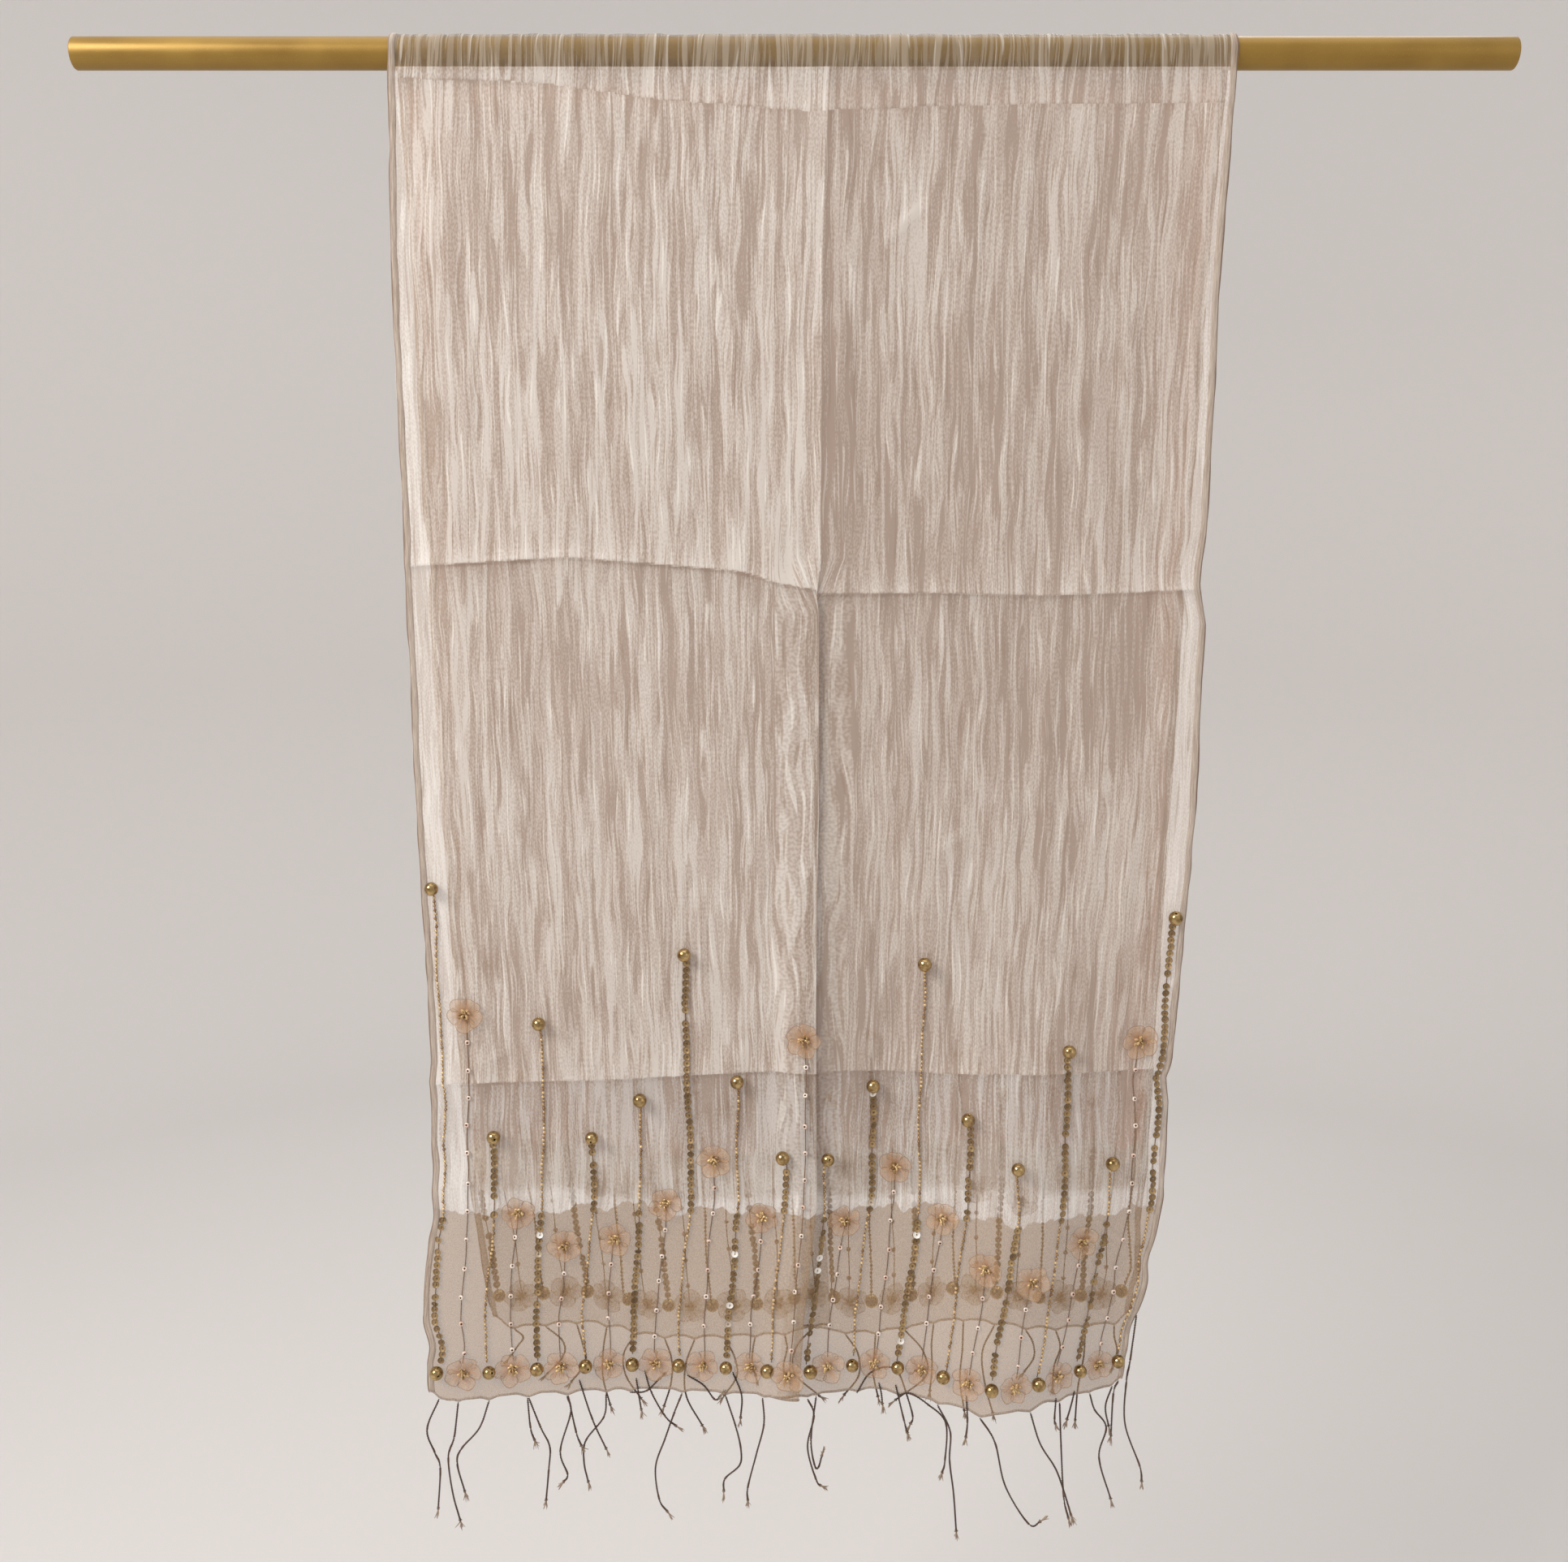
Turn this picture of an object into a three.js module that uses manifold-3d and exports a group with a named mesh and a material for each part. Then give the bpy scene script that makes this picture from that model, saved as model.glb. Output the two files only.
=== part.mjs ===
// Evening stole of sheer organza, hung over a round rail, with beaded stems above a threaded hem.
// Millimetres, +Z up. The origin is the middle of the rail's axis. +X runs along the rail, and the
// front fall faces -Y. Across the cloth, "at" is the distance from its middle line. Down the cloth,
// "drop" is the distance below the rail's axis.
import * as THREE from "three";
import { mergeVertices } from "three/addons/utils/BufferGeometryUtils.js";
import Module from "manifold-3d";

const wasm = await Module();
wasm.setup();

// Clearances: at seams, and under what is sewn onto a panel
const SEAM_GAP = 0.3;
const TRIM_GAP = 0.5;

// Rail
const RAIL_DIAMETER = 22;
const RAIL_LENGTH = 1016;
const RAIL_SIDES = 32;

// Cloth: one stem's pitch is one column of the panels, so every stem lies in the middle of a column
const STEM_COUNT = 31;
const STEM_PITCH = 19.2;
const CLOTH_WIDTH = STEM_COUNT * STEM_PITCH;
const HALF_WIDTH = CLOTH_WIDTH / 2;
const CLOTH_WALL = 1;
const CLOTH_RADIUS = RAIL_DIAMETER / 2 + SEAM_GAP;
const RAIL_TURN_STEPS = 12;

// Rolled hems, sewn flat on the outer face along the edges
const HEM_WIDTH = 5;
const HEM_WALL = 1;
const END_HEM_WIDTH = 4;

// Beaded stems: a strip of sequins or seed beads with an ornament at each end
const STRIP_WIDTH = 4.4;
const STRIP_WALL = 1.4;
const BEAD_RADIUS = 5.2;
const BEAD_SIDES = 6;
const BEAD_RINGS = 4;
const PETALS = 5;
const PETAL_NOTCH = 0.7;
const HEART_LOW = 1.3;
const HEART_HIGH = 6.5;
const PETAL_LOW = 3.2;
const PETAL_HIGH = 5.4;
const FLOWER_RADIUS = { front: 12.5, back: 14.8 };
const ROW_ABOVE_HEM = 24;
const STEM_TILT = 0.04;

// Stems from the long edge to the middle, mirrored on the other half: where each one starts
const STEMS = [
  { kind: "bead", top: 610 },
  { kind: "flower", top: 708 },
  { kind: "bead", top: 805 },
  { kind: "flower", top: 867 },
  { kind: "bead", top: 713 },
  { kind: "flower", top: 894 },
  { kind: "bead", top: 804 },
  { kind: "flower", top: 888 },
  { kind: "bead", top: 772 },
  { kind: "flower", top: 857 },
  { kind: "bead", top: 654 },
  { kind: "flower", top: 819 },
  { kind: "bead", top: 753 },
  { kind: "flower", top: 864 },
  { kind: "bead", top: 812 },
  { kind: "flower", top: 716 },
];

// Each fall: its length, its long edges, its folds and the uneven hang of its hem.
// A fold stands "bulge" outwards, takes up "take" of the width, and grows from "start" to the hem.
// A crease is a ridge pressed across the cloth, or along its middle line.
const FRONT = {
  name: "front",
  outward: -1,
  length: 1012,
  edges: [
    { drop: 0, left: -284, right: 310 },
    { drop: 140, left: -288, right: 304 },
    { drop: 366, left: -286, right: 300 },
    { drop: 400, left: -286, right: 307 },
    { drop: 540, left: -284, right: 303 },
    { drop: 747, left: -279, right: 292 },
    { drop: 850, left: -282, right: 291 },
    { drop: 945, left: -291, right: 276 },
    { drop: 1012, left: -287, right: 263 },
  ],
  folds: [
    { name: "left edge", at: -280, half: 70, bulge: 7, take: 0, start: 600 },
    { name: "left hollow", at: -125, half: 95, bulge: -6, take: 0, start: 600 },
    { name: "middle pleat", at: 0, half: 38, bulge: 13, take: 14, start: 380 },
    { name: "right hollow", at: 68, half: 36, bulge: -5, take: 0, start: 500 },
    { name: "right ridge", at: 178, half: 80, bulge: 22, take: 8, start: 560 },
    { name: "right curl", at: 298, half: 70, bulge: -13, take: 12, start: 640 },
  ],
  hang: [
    { at: -298, extra: 1 },
    { at: 100, extra: 0 },
    { at: 178, extra: 8 },
    { at: 298, extra: 0 },
  ],
  creases: [
    { drop: 40, half: 26, ridge: 1 },
    { drop: 366, half: 34, ridge: 2.5 },
    { drop: 747, half: 43, ridge: 2 },
  ],
  middleCrease: { at: -STEM_PITCH / 2, ridge: 1.5 },
  rows: [14, 40, 66, 190, 332, 366, 400, 540, 640, 704, 747, 790, 870, 940, 1012],
};
const BACK = {
  name: "back",
  outward: 1,
  length: 972,
  edges: [
    { drop: 0, left: -284, right: 310 },
    { drop: 120, left: -278, right: 302 },
    { drop: 366, left: -275, right: 294 },
    { drop: 560, left: -269, right: 288 },
    { drop: 840, left: -260, right: 284 },
    { drop: 972, left: -242, right: 277 },
  ],
  folds: [
    { name: "left ridge", at: -215, half: 80, bulge: 17, take: 10, start: 240 },
    { name: "left hollow", at: -100, half: 70, bulge: -3, take: 0, start: 400 },
    { name: "middle pleat", at: 0, half: 40, bulge: 14, take: 16, start: 300 },
    { name: "right ridge", at: 135, half: 85, bulge: 18, take: 10, start: 260 },
    { name: "right edge", at: 298, half: 80, bulge: 9, take: 4, start: 420 },
  ],
  hang: [
    { at: -298, extra: -4 },
    { at: -160, extra: 4 },
    { at: 298, extra: -3 },
  ],
  creases: [
    { drop: 366, half: 56, ridge: 2 },
    { drop: 747, half: 47, ridge: 2 },
  ],
  middleCrease: { at: -STEM_PITCH / 2, ridge: 1.5 },
  rows: [60, 200, 310, 366, 422, 560, 700, 747, 794, 880, 972],
};

// Fringe: how far the loose threads reach below each hem
const FRINGE_STEPS = 1;
const FRINGE_REACH = {
  front: [
    { at: -298, reach: 104 },
    { at: -60, reach: 96 },
    { at: 140, reach: 116 },
    { at: 298, reach: 98 },
  ],
  back: [
    { at: -298, reach: 62 },
    { at: 60, reach: 84 },
    { at: 298, reach: 70 },
  ],
};

// Finishes
const finish = (color, roughness, metalness) =>
  new THREE.MeshStandardMaterial({ color, roughness, metalness });
const FINISHES = {
  rail: finish(0xb08d4a, 0.42, 0.8),
  organza: finish(0xd8c6b0, 0.55, 0),
  hem: finish(0xc4ab90, 0.55, 0),
  bead: finish(0xa9884a, 0.25, 1),
  flower: finish(0xe3b9a0, 0.5, 0),
  thread: finish(0x4a3a32, 0.7, 0),
};

// Small maths
const smoothStep = (x) => THREE.MathUtils.smoothstep(x, 0, 1);

function readTable(table, key, value, where) {
  const last = table.length - 1;
  const next = table.findIndex((row) => row[key] >= where);
  if (next === 0) return table[0][value];
  if (next === -1) return table[last][value];
  const low = table[next - 1];
  const high = table[next];
  const share = (where - low[key]) / (high[key] - low[key]);
  return THREE.MathUtils.lerp(low[value], high[value], share);
}

// Cloth form
const foldGrowth = (panel, fold, drop) =>
  smoothStep((drop - fold.start) / (panel.length - fold.start));

const tent = (distance, half) => Math.max(0, 1 - Math.abs(distance) / half);

function shownAcross(panel, at, drop) {
  const taken = panel.folds.map((fold) => {
    const side = THREE.MathUtils.clamp((at - fold.at) / fold.half, -1, 1);
    const share = (1 + Math.sin((side * Math.PI) / 2)) / 2;
    return fold.take * foldGrowth(panel, fold, drop) * share;
  });
  return at - taken.reduce((sum, value) => sum + value, 0);
}

function standOut(panel, at, drop) {
  const folds = panel.folds.map((fold) => {
    const side = THREE.MathUtils.clamp((at - fold.at) / fold.half, -1, 1);
    const profile = (1 + Math.cos(side * Math.PI)) / 2;
    return fold.bulge * foldGrowth(panel, fold, drop) * profile;
  });
  const creases = panel.creases.map((crease) => crease.ridge * tent(drop - crease.drop, crease.half));
  const middle = panel.middleCrease;
  const along = middle.ridge * tent(at - middle.at, STEM_PITCH) * smoothStep(drop / STEM_PITCH);
  return [...folds, ...creases, along].reduce((sum, value) => sum + value, 0);
}

function innerPoint(panel, at, drop) {
  const left = readTable(panel.edges, "drop", "left", drop);
  const right = readTable(panel.edges, "drop", "right", drop);
  const first = shownAcross(panel, -HALF_WIDTH, drop);
  const last = shownAcross(panel, HALF_WIDTH, drop);
  const share = (shownAcross(panel, at, drop) - first) / (last - first);
  const hang = readTable(panel.hang, "at", "extra", at) * (drop / panel.length);
  const out = panel.outward * (CLOTH_RADIUS + standOut(panel, at, drop));
  return new THREE.Vector3(THREE.MathUtils.lerp(left, right, share), out, -drop - hang);
}

// A panel's grid: corner points of the inner face, with the directions that lead outwards
function makeGrid(panel) {
  const columns = Array.from({ length: STEM_COUNT + 1 }, (_, i) => -HALF_WIDTH + i * STEM_PITCH);
  const drops = [SEAM_GAP, ...panel.rows];
  const inner = drops.map((drop) => columns.map((at) => innerPoint(panel, at, drop)));
  const normals = inner.map((row, r) =>
    row.map((_, c) => {
      const above = inner[Math.max(r - 1, 0)][c];
      const below = inner[Math.min(r + 1, drops.length - 1)][c];
      const before = row[Math.max(c - 1, 0)];
      const after = row[Math.min(c + 1, columns.length - 1)];
      const down = below.clone().sub(above);
      const across = after.clone().sub(before);
      return across.cross(down).normalize().multiplyScalar(panel.outward);
    }),
  );
  return { panel, columns, drops, inner, normals };
}

const lifted = (grid, r, c, lift) => grid.inner[r][c].clone().addScaledVector(grid.normals[r][c], lift);

// A point on the panel's own facets, "lift" above its outer face
function onPanel(grid, at, drop, lift) {
  const lastRow = grid.drops.length - 2;
  const lastColumn = grid.columns.length - 2;
  const foundRow = grid.drops.findIndex((value) => value > drop) - 1;
  const r = foundRow < 0 ? (drop <= grid.drops[0] ? 0 : lastRow) : foundRow;
  const c = THREE.MathUtils.clamp(Math.floor((at + HALF_WIDTH) / STEM_PITCH), 0, lastColumn);
  const u = (at - grid.columns[c]) / STEM_PITCH;
  const v = (drop - grid.drops[r]) / (grid.drops[r + 1] - grid.drops[r]);
  const height = CLOTH_WALL + lift;
  const topLeft = lifted(grid, r, c, height);
  const topRight = lifted(grid, r, c + 1, height);
  const lowLeft = lifted(grid, r + 1, c, height);
  const lowRight = lifted(grid, r + 1, c + 1, height);
  const nearTopLeft = u + v <= 1;
  const base = nearTopLeft ? topLeft : lowRight;
  const sideways = nearTopLeft ? topRight.sub(topLeft) : lowLeft.sub(lowRight);
  const updown = nearTopLeft ? lowLeft.sub(topLeft) : topRight.sub(lowRight);
  const acrossShare = nearTopLeft ? u : 1 - u;
  const downShare = nearTopLeft ? v : 1 - v;
  return base.addScaledVector(sideways, acrossShare).addScaledVector(updown, downShare);
}

// Solids from points
const turned = ([a, b, c]) => [a, c, b];

function closedSolid(points, triangles) {
  const volume = triangles.reduce((sum, [a, b, c]) => {
    const normal = points[b].clone().cross(points[c]);
    return sum + points[a].dot(normal);
  }, 0);
  const facesOut = volume > 0 ? triangles : triangles.map(turned);
  const geometry = new THREE.BufferGeometry();
  const numbers = points.flatMap((point) => point.toArray());
  geometry.setAttribute("position", new THREE.Float32BufferAttribute(numbers, 3));
  geometry.setIndex(facesOut.flat());
  return geometry;
}

const quad = (a, b, c, d) => [
  [a, b, d],
  [d, b, c],
];

// A wall between two grids of points of the same shape
function wallBetween(near, far) {
  const rows = near.length;
  const columns = near[0].length;
  const lastRow = rows - 1;
  const lastColumn = columns - 1;
  const n = (r, c) => r * columns + c;
  const f = (r, c) => rows * columns + n(r, c);
  const triangles = [];
  for (let r = 0; r < lastRow; r += 1) {
    for (let c = 0; c < lastColumn; c += 1) {
      triangles.push(...quad(n(r, c), n(r, c + 1), n(r + 1, c + 1), n(r + 1, c)));
      triangles.push(...quad(f(r, c), f(r, c + 1), f(r + 1, c + 1), f(r + 1, c)).map(turned));
    }
    triangles.push(...quad(n(r, 0), n(r + 1, 0), f(r + 1, 0), f(r, 0)));
    triangles.push(...quad(n(r + 1, lastColumn), n(r, lastColumn), f(r, lastColumn), f(r + 1, lastColumn)));
  }
  for (let c = 0; c < lastColumn; c += 1) {
    triangles.push(...quad(n(0, c + 1), n(0, c), f(0, c), f(0, c + 1)));
    triangles.push(...quad(n(lastRow, c), n(lastRow, c + 1), f(lastRow, c + 1), f(lastRow, c)));
  }
  return closedSolid([...near.flat(), ...far.flat()], triangles);
}

// A strip of four-cornered sections, each a pair of points low and a pair high
function strip(sections) {
  return wallBetween(
    sections.map(({ low }) => low),
    sections.map(({ high }) => high),
  );
}

// Joining of overlapping solids into one body
function toManifold(geometry) {
  const bare = geometry.clone();
  bare.deleteAttribute("normal");
  bare.deleteAttribute("uv");
  const merged = mergeVertices(bare);
  const vertProperties = new Float32Array(merged.getAttribute("position").array);
  const triVerts = new Uint32Array(merged.getIndex().array);
  return new wasm.Manifold(new wasm.Mesh({ numProp: 3, vertProperties, triVerts }));
}

function joined(geometries) {
  const body = geometries.map(toManifold).reduce((sum, solid) => sum.add(solid));
  const mesh = body.getMesh();
  const geometry = new THREE.BufferGeometry();
  geometry.setAttribute("position", new THREE.BufferAttribute(new Float32Array(mesh.vertProperties), 3));
  geometry.setIndex(new THREE.BufferAttribute(new Uint32Array(mesh.triVerts), 1));
  return geometry;
}

// Rail
function makeRail() {
  const radius = RAIL_DIAMETER / 2;
  return new THREE.CylinderGeometry(radius, radius, RAIL_LENGTH, RAIL_SIDES).rotateZ(Math.PI / 2);
}

// Cloth stretches
function makeFall(grid) {
  const outer = grid.inner.map((row, r) => row.map((_, c) => lifted(grid, r, c, CLOTH_WALL)));
  return wallBetween(grid.inner, outer);
}

function makeOverRail(panel) {
  const { left, right } = panel.edges[0];
  const section = new THREE.Shape();
  section.absarc(0, 0, CLOTH_RADIUS + CLOTH_WALL, 0, Math.PI, false);
  section.absarc(0, 0, CLOTH_RADIUS, Math.PI, 0, true);
  const depth = right - left;
  const geometry = new THREE.ExtrudeGeometry(section, {
    depth,
    bevelEnabled: false,
    curveSegments: RAIL_TURN_STEPS,
  });
  const alongRail = new THREE.Matrix4().makeBasis(
    new THREE.Vector3(0, 1, 0),
    new THREE.Vector3(0, 0, 1),
    new THREE.Vector3(1, 0, 0),
  );
  return geometry.applyMatrix4(alongRail).translate(left, 0, 0);
}

// Hems
const hemLifts = [TRIM_GAP, TRIM_GAP + HEM_WALL];

function hemSection(pointAt, fromAt, toAt) {
  const [low, high] = hemLifts.map((lift) => [pointAt(fromAt, lift), pointAt(toAt, lift)]);
  return { low, high };
}

function overRailPoint(panel, at, turn, lift) {
  const { left, right } = panel.edges[0];
  const x = THREE.MathUtils.lerp(left, right, (at + HALF_WIDTH) / CLOTH_WIDTH);
  const radius = CLOTH_RADIUS + CLOTH_WALL + lift;
  return new THREE.Vector3(x, -radius * Math.cos(turn), radius * Math.sin(turn));
}

function makeSideHem(front, back, side) {
  const edge = side * HALF_WIDTH;
  const inside = side * (HALF_WIDTH - HEM_WIDTH);
  const downFall = (grid) =>
    grid.drops.map((drop) => hemSection((at, lift) => onPanel(grid, at, drop, lift), edge, inside));
  const step = Math.PI / RAIL_TURN_STEPS;
  const turns = Array.from({ length: RAIL_TURN_STEPS - 1 }, (_, i) => (i + 1) * step);
  const overRail = turns.map((turn) =>
    hemSection((at, lift) => overRailPoint(front.panel, at, turn, lift), edge, inside),
  );
  return strip([...downFall(front).reverse(), ...overRail, ...downFall(back)]);
}

function makeEndHem(grid) {
  const reach = HALF_WIDTH - HEM_WIDTH - SEAM_GAP;
  const bottom = grid.panel.length;
  const places = [-reach, ...grid.columns.slice(1, -1), reach];
  const sections = places.map((at) =>
    hemSection((drop, lift) => onPanel(grid, at, drop, lift), bottom - END_HEM_WIDTH, bottom),
  );
  return strip(sections);
}

// Stems
function stemAt(index) {
  const fromEdge = Math.min(index, STEM_COUNT - 1 - index);
  const at = (index - (STEM_COUNT - 1) / 2) * STEM_PITCH;
  return { ...STEMS[fromEdge], at };
}

function makeStrip(grid, stem, topDrop, bottomDrop) {
  const first = topDrop + STRIP_WIDTH;
  const last = bottomDrop - STRIP_WIDTH;
  const between = grid.drops.filter((drop) => drop > first && drop < last);
  const half = STRIP_WIDTH / 2;
  const lifts = [TRIM_GAP, TRIM_GAP + STRIP_WALL];
  const sections = [topDrop, ...between, bottomDrop].map((drop) => {
    const [low, high] = lifts.map((lift) => [
      onPanel(grid, stem.at - half, drop, lift),
      onPanel(grid, stem.at + half, drop, lift),
    ]);
    return { low, high };
  });
  return strip(sections);
}

function makeBead(grid, at, drop) {
  const seat = onPanel(grid, at, drop, TRIM_GAP + BEAD_RADIUS);
  const foot = onPanel(grid, at, drop, 0);
  const facing = new THREE.Quaternion();
  facing.setFromUnitVectors(new THREE.Vector3(0, 1, 0), seat.clone().sub(foot).normalize());
  const bead = new THREE.SphereGeometry(BEAD_RADIUS, BEAD_SIDES, BEAD_RINGS);
  return bead.applyQuaternion(facing).translate(...seat.toArray());
}

function makeFlower(grid, at, drop, towards) {
  const tip = FLOWER_RADIUS[grid.panel.name];
  const steps = PETALS * 2;
  const rim = Array.from({ length: steps }, (_, i) => {
    const radius = i % 2 === 0 ? tip : tip * PETAL_NOTCH;
    const turn = (i * Math.PI) / PETALS;
    return { at: at + towards * radius * Math.cos(turn), drop: drop + radius * Math.sin(turn) };
  });
  const heart = { at, drop };
  const place = (spot, lift) => onPanel(grid, spot.at, spot.drop, lift);
  const points = [
    ...rim.map((spot) => place(spot, PETAL_LOW)),
    ...rim.map((spot) => place(spot, PETAL_HIGH)),
    place(heart, HEART_LOW),
    place(heart, HEART_HIGH),
  ];
  const triangles = rim.flatMap((_, i) => {
    const next = (i + 1) % steps;
    return [
      [i, next, steps * 2],
      [steps + next, steps + i, steps * 2 + 1],
      ...quad(next, i, steps + i, steps + next),
    ];
  });
  return closedSolid(points, triangles);
}

function stemPieces(grid, stem, towards) {
  const scale = grid.panel.length / FRONT.length;
  const topDrop = (stem.top + stem.at * STEM_TILT) * scale;
  const bottomDrop = grid.panel.length - ROW_ABOVE_HEM;
  const ornament = (drop) =>
    stem.kind === "bead" ? makeBead(grid, stem.at, drop) : makeFlower(grid, stem.at, drop, towards);
  return [makeStrip(grid, stem, topDrop, bottomDrop), ornament(topDrop), ornament(bottomDrop)];
}

// Fringe: a plain wall of the threads' reach, hanging from the hem
function makeFringe(grid) {
  const bottom = grid.drops.length - 1;
  const hangFrom = (lift) =>
    Array.from({ length: FRINGE_STEPS + 1 }, (_, step) =>
      grid.columns.map((at, c) => {
        const reach = readTable(FRINGE_REACH[grid.panel.name], "at", "reach", at);
        const point = lifted(grid, bottom, c, lift);
        point.z = grid.inner[bottom][c].z - 2 * SEAM_GAP - (reach * step) / FRINGE_STEPS;
        return point;
      }),
    );
  return wallBetween(hangFrom(0), hangFrom(CLOTH_WALL));
}

// Assembly
const stole = new THREE.Group();
const add = (name, geometry, material) => {
  const mesh = new THREE.Mesh(geometry, material);
  mesh.name = name;
  stole.add(mesh);
};
const numbered = (name, number) => `${name}_${String(number).padStart(2, "0")}`;

const front = makeGrid(FRONT);
const back = makeGrid(BACK);

add("rail", makeRail(), FINISHES.rail);
add("front_fall", makeFall(front), FINISHES.organza);
add("over_rail", makeOverRail(FRONT), FINISHES.organza);
add("back_fall", makeFall(back), FINISHES.organza);
add("hem_left", makeSideHem(front, back, -1), FINISHES.hem);
add("hem_right", makeSideHem(front, back, 1), FINISHES.hem);
add("hem_front", makeEndHem(front), FINISHES.hem);
add("hem_back", makeEndHem(back), FINISHES.hem);
add("fringe_front", makeFringe(front), FINISHES.thread);
add("fringe_back", makeFringe(back), FINISHES.thread);

// On the front fall each stem is its own piece. On the back fall a flower's petal meets the bead of
// the stem before it, so the two are one piece.
for (let index = 0; index < STEM_COUNT; index += 1) {
  const stem = stemAt(index);
  const name = numbered(`front_${stem.kind}_stem`, index + 1);
  add(name, joined(stemPieces(front, stem, 1)), FINISHES[stem.kind]);
}
for (let index = 0; index < STEM_COUNT; index += 2) {
  const pair = [stemAt(index)];
  if (index + 1 < STEM_COUNT) pair.push(stemAt(index + 1));
  const pieces = pair.flatMap((stem) => stemPieces(back, stem, -1));
  add(numbered("back_stems", index / 2 + 1), joined(pieces), FINISHES.bead);
}

export default stole;
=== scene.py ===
import math
from collections import namedtuple
from types import SimpleNamespace

import bpy
import numpy as np
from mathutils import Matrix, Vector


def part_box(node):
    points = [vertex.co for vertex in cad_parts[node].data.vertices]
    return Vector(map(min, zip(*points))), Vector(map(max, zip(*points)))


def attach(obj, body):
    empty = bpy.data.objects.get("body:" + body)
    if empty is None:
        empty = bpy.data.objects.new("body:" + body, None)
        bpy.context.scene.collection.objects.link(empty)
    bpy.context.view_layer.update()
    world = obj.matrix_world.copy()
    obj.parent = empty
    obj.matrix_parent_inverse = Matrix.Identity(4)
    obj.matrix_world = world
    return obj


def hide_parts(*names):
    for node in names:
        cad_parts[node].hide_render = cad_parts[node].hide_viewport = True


# Evening stole of crinkled sheer organza hung over a round rail, with beaded stems and loose hem threads.
# Sizes are in millimetres, measured from the middle of the rail's axis: +X along the rail, the front fall
# faces -Y, +Z is up. A place on the cloth is given by "at" (across, from the middle) and "along" (from the
# front hem, up the front fall, over the rail and down the back fall). A "drop" is a length below the rail.

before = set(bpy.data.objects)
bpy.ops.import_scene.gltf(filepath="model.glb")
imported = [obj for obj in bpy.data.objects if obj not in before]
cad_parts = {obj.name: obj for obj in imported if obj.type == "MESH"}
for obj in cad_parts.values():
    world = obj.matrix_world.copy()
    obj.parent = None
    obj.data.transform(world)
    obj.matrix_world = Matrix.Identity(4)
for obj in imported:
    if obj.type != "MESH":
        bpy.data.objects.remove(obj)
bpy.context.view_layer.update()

MM = 0.001
FULL_TURN = 2 * math.pi
BODY = "root"

# Rail
RAIL_LOW, RAIL_HIGH = (np.array(corner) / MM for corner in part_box("rail"))
RAIL_RADIUS = (RAIL_HIGH[2] - RAIL_LOW[2]) / 2
RAIL_HALF = RAIL_HIGH[0]
RAIL_SOFT_EDGE = 1.2
RAIL_END_MIDDLE = 0.01
ROUND_SEGMENTS = 96

# Cloth
HALF_WIDTH = 297.6
CLOTH_RADIUS = RAIL_RADIUS + 0.8
TURN = math.pi * CLOTH_RADIUS
TURN_STEPS = 14
PLAIN_BORDER = 155
BUNCH_ON_RAIL = 0.75
SEAT_STEP = 1.5

# Folds and waves of the cloth. A pressed section is (gentle, steep), a crinkle (height, cell across, cell
# down), and the turns of the pleat are shares of its half width.
CREASE_SECTION = (13, 2.6)
MIDDLE_SECTION = (16, 3)
MIDDLE_RIDGE = 1.7
PLEAT_HALF = 30
PLEAT_DEPTH = 2.0
PLEAT_FULL_REACH = 12
PLEAT_TOP_TURN, PLEAT_END_TURN = 0.36, 0.74
# Share of the painted shade between the falls that the top layer of the middle pleat keeps
PLEAT_PAINTED_SHADE_SHARE = 0.75
WRINKLE_WIDTH = 3.6
CRINKLES = [(1.5, 75, 260), (0.55, 13, 120), (0.3, 6.5, 50)]
EDGE_FROM, EDGE_FADE = 245, 50
EDGE_WAVE, EDGE_WAVE_LOW, EDGE_WAVE_LENGTH, EDGE_WAVE_FROM = 0.45, 2.2, 21, 760
EDGE_FLARE, EDGE_FLARE_LENGTH, EDGE_FLARE_FROM = 2.2, 24, 640
# Painted shade along the inner side of the back fall's left edge: strength and width
EDGE_PAINTED_SHADE, EDGE_PAINTED_SHADE_WIDTH = 0.6, 34
CORNER_LIFT, CORNER_FROM, CORNER_FADE, CORNER_HEIGHT = 9, 282, 18, 40

# Hems
Hem = namedtuple("Hem", "width thickness")
SIDE_HEM = Hem(5, 1.7)
END_HEM = Hem(2.0, 1.5)
HEM_SIDES = 10
HEM_POINT, HEM_POINT_HALF = 2.6, 7
HEM_DRIFT, HEM_DRIFT_LENGTH, HEM_DRIFT_HEIGHT = 1.6, 34, 30

# Stems, with the gaps between the things on them as (least, most)
STEM_COUNT = 31
STEM_PITCH = 19.2
STEM_TILT = 0.04
ROW_ABOVE_HEM = 24
CHAIN_TURNS_AT = 152
STEM_TOPS = [610, 708, 805, 867, 713, 894, 804, 888, 772, 857, 654, 819, 753, 864, 812, 716]
STEM_TABLE_LENGTH = 1012
FIRST_SQUARE, SQUARE_GAP = (20, 24), (21, 25)
SEQUIN_GAP, SEED_GAP = (5.0, 5.5), (3.0, 3.5)
FLOWER_THREAD_GAP, BEAD_THREAD_GAP, LAST_SQUARE_GAP = 4, 3, 15
CHAIN_TOP_GAP, CHAIN_LOW_GAP = 7.5, 7
SEQUINS_MISSING = 0.07
SEED_WANDER = 0.35
STEM_THREAD_STEP, STEM_THREAD_RADIUS, STEM_THREAD_LIFT = 4.0, 0.42, 0.7

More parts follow.
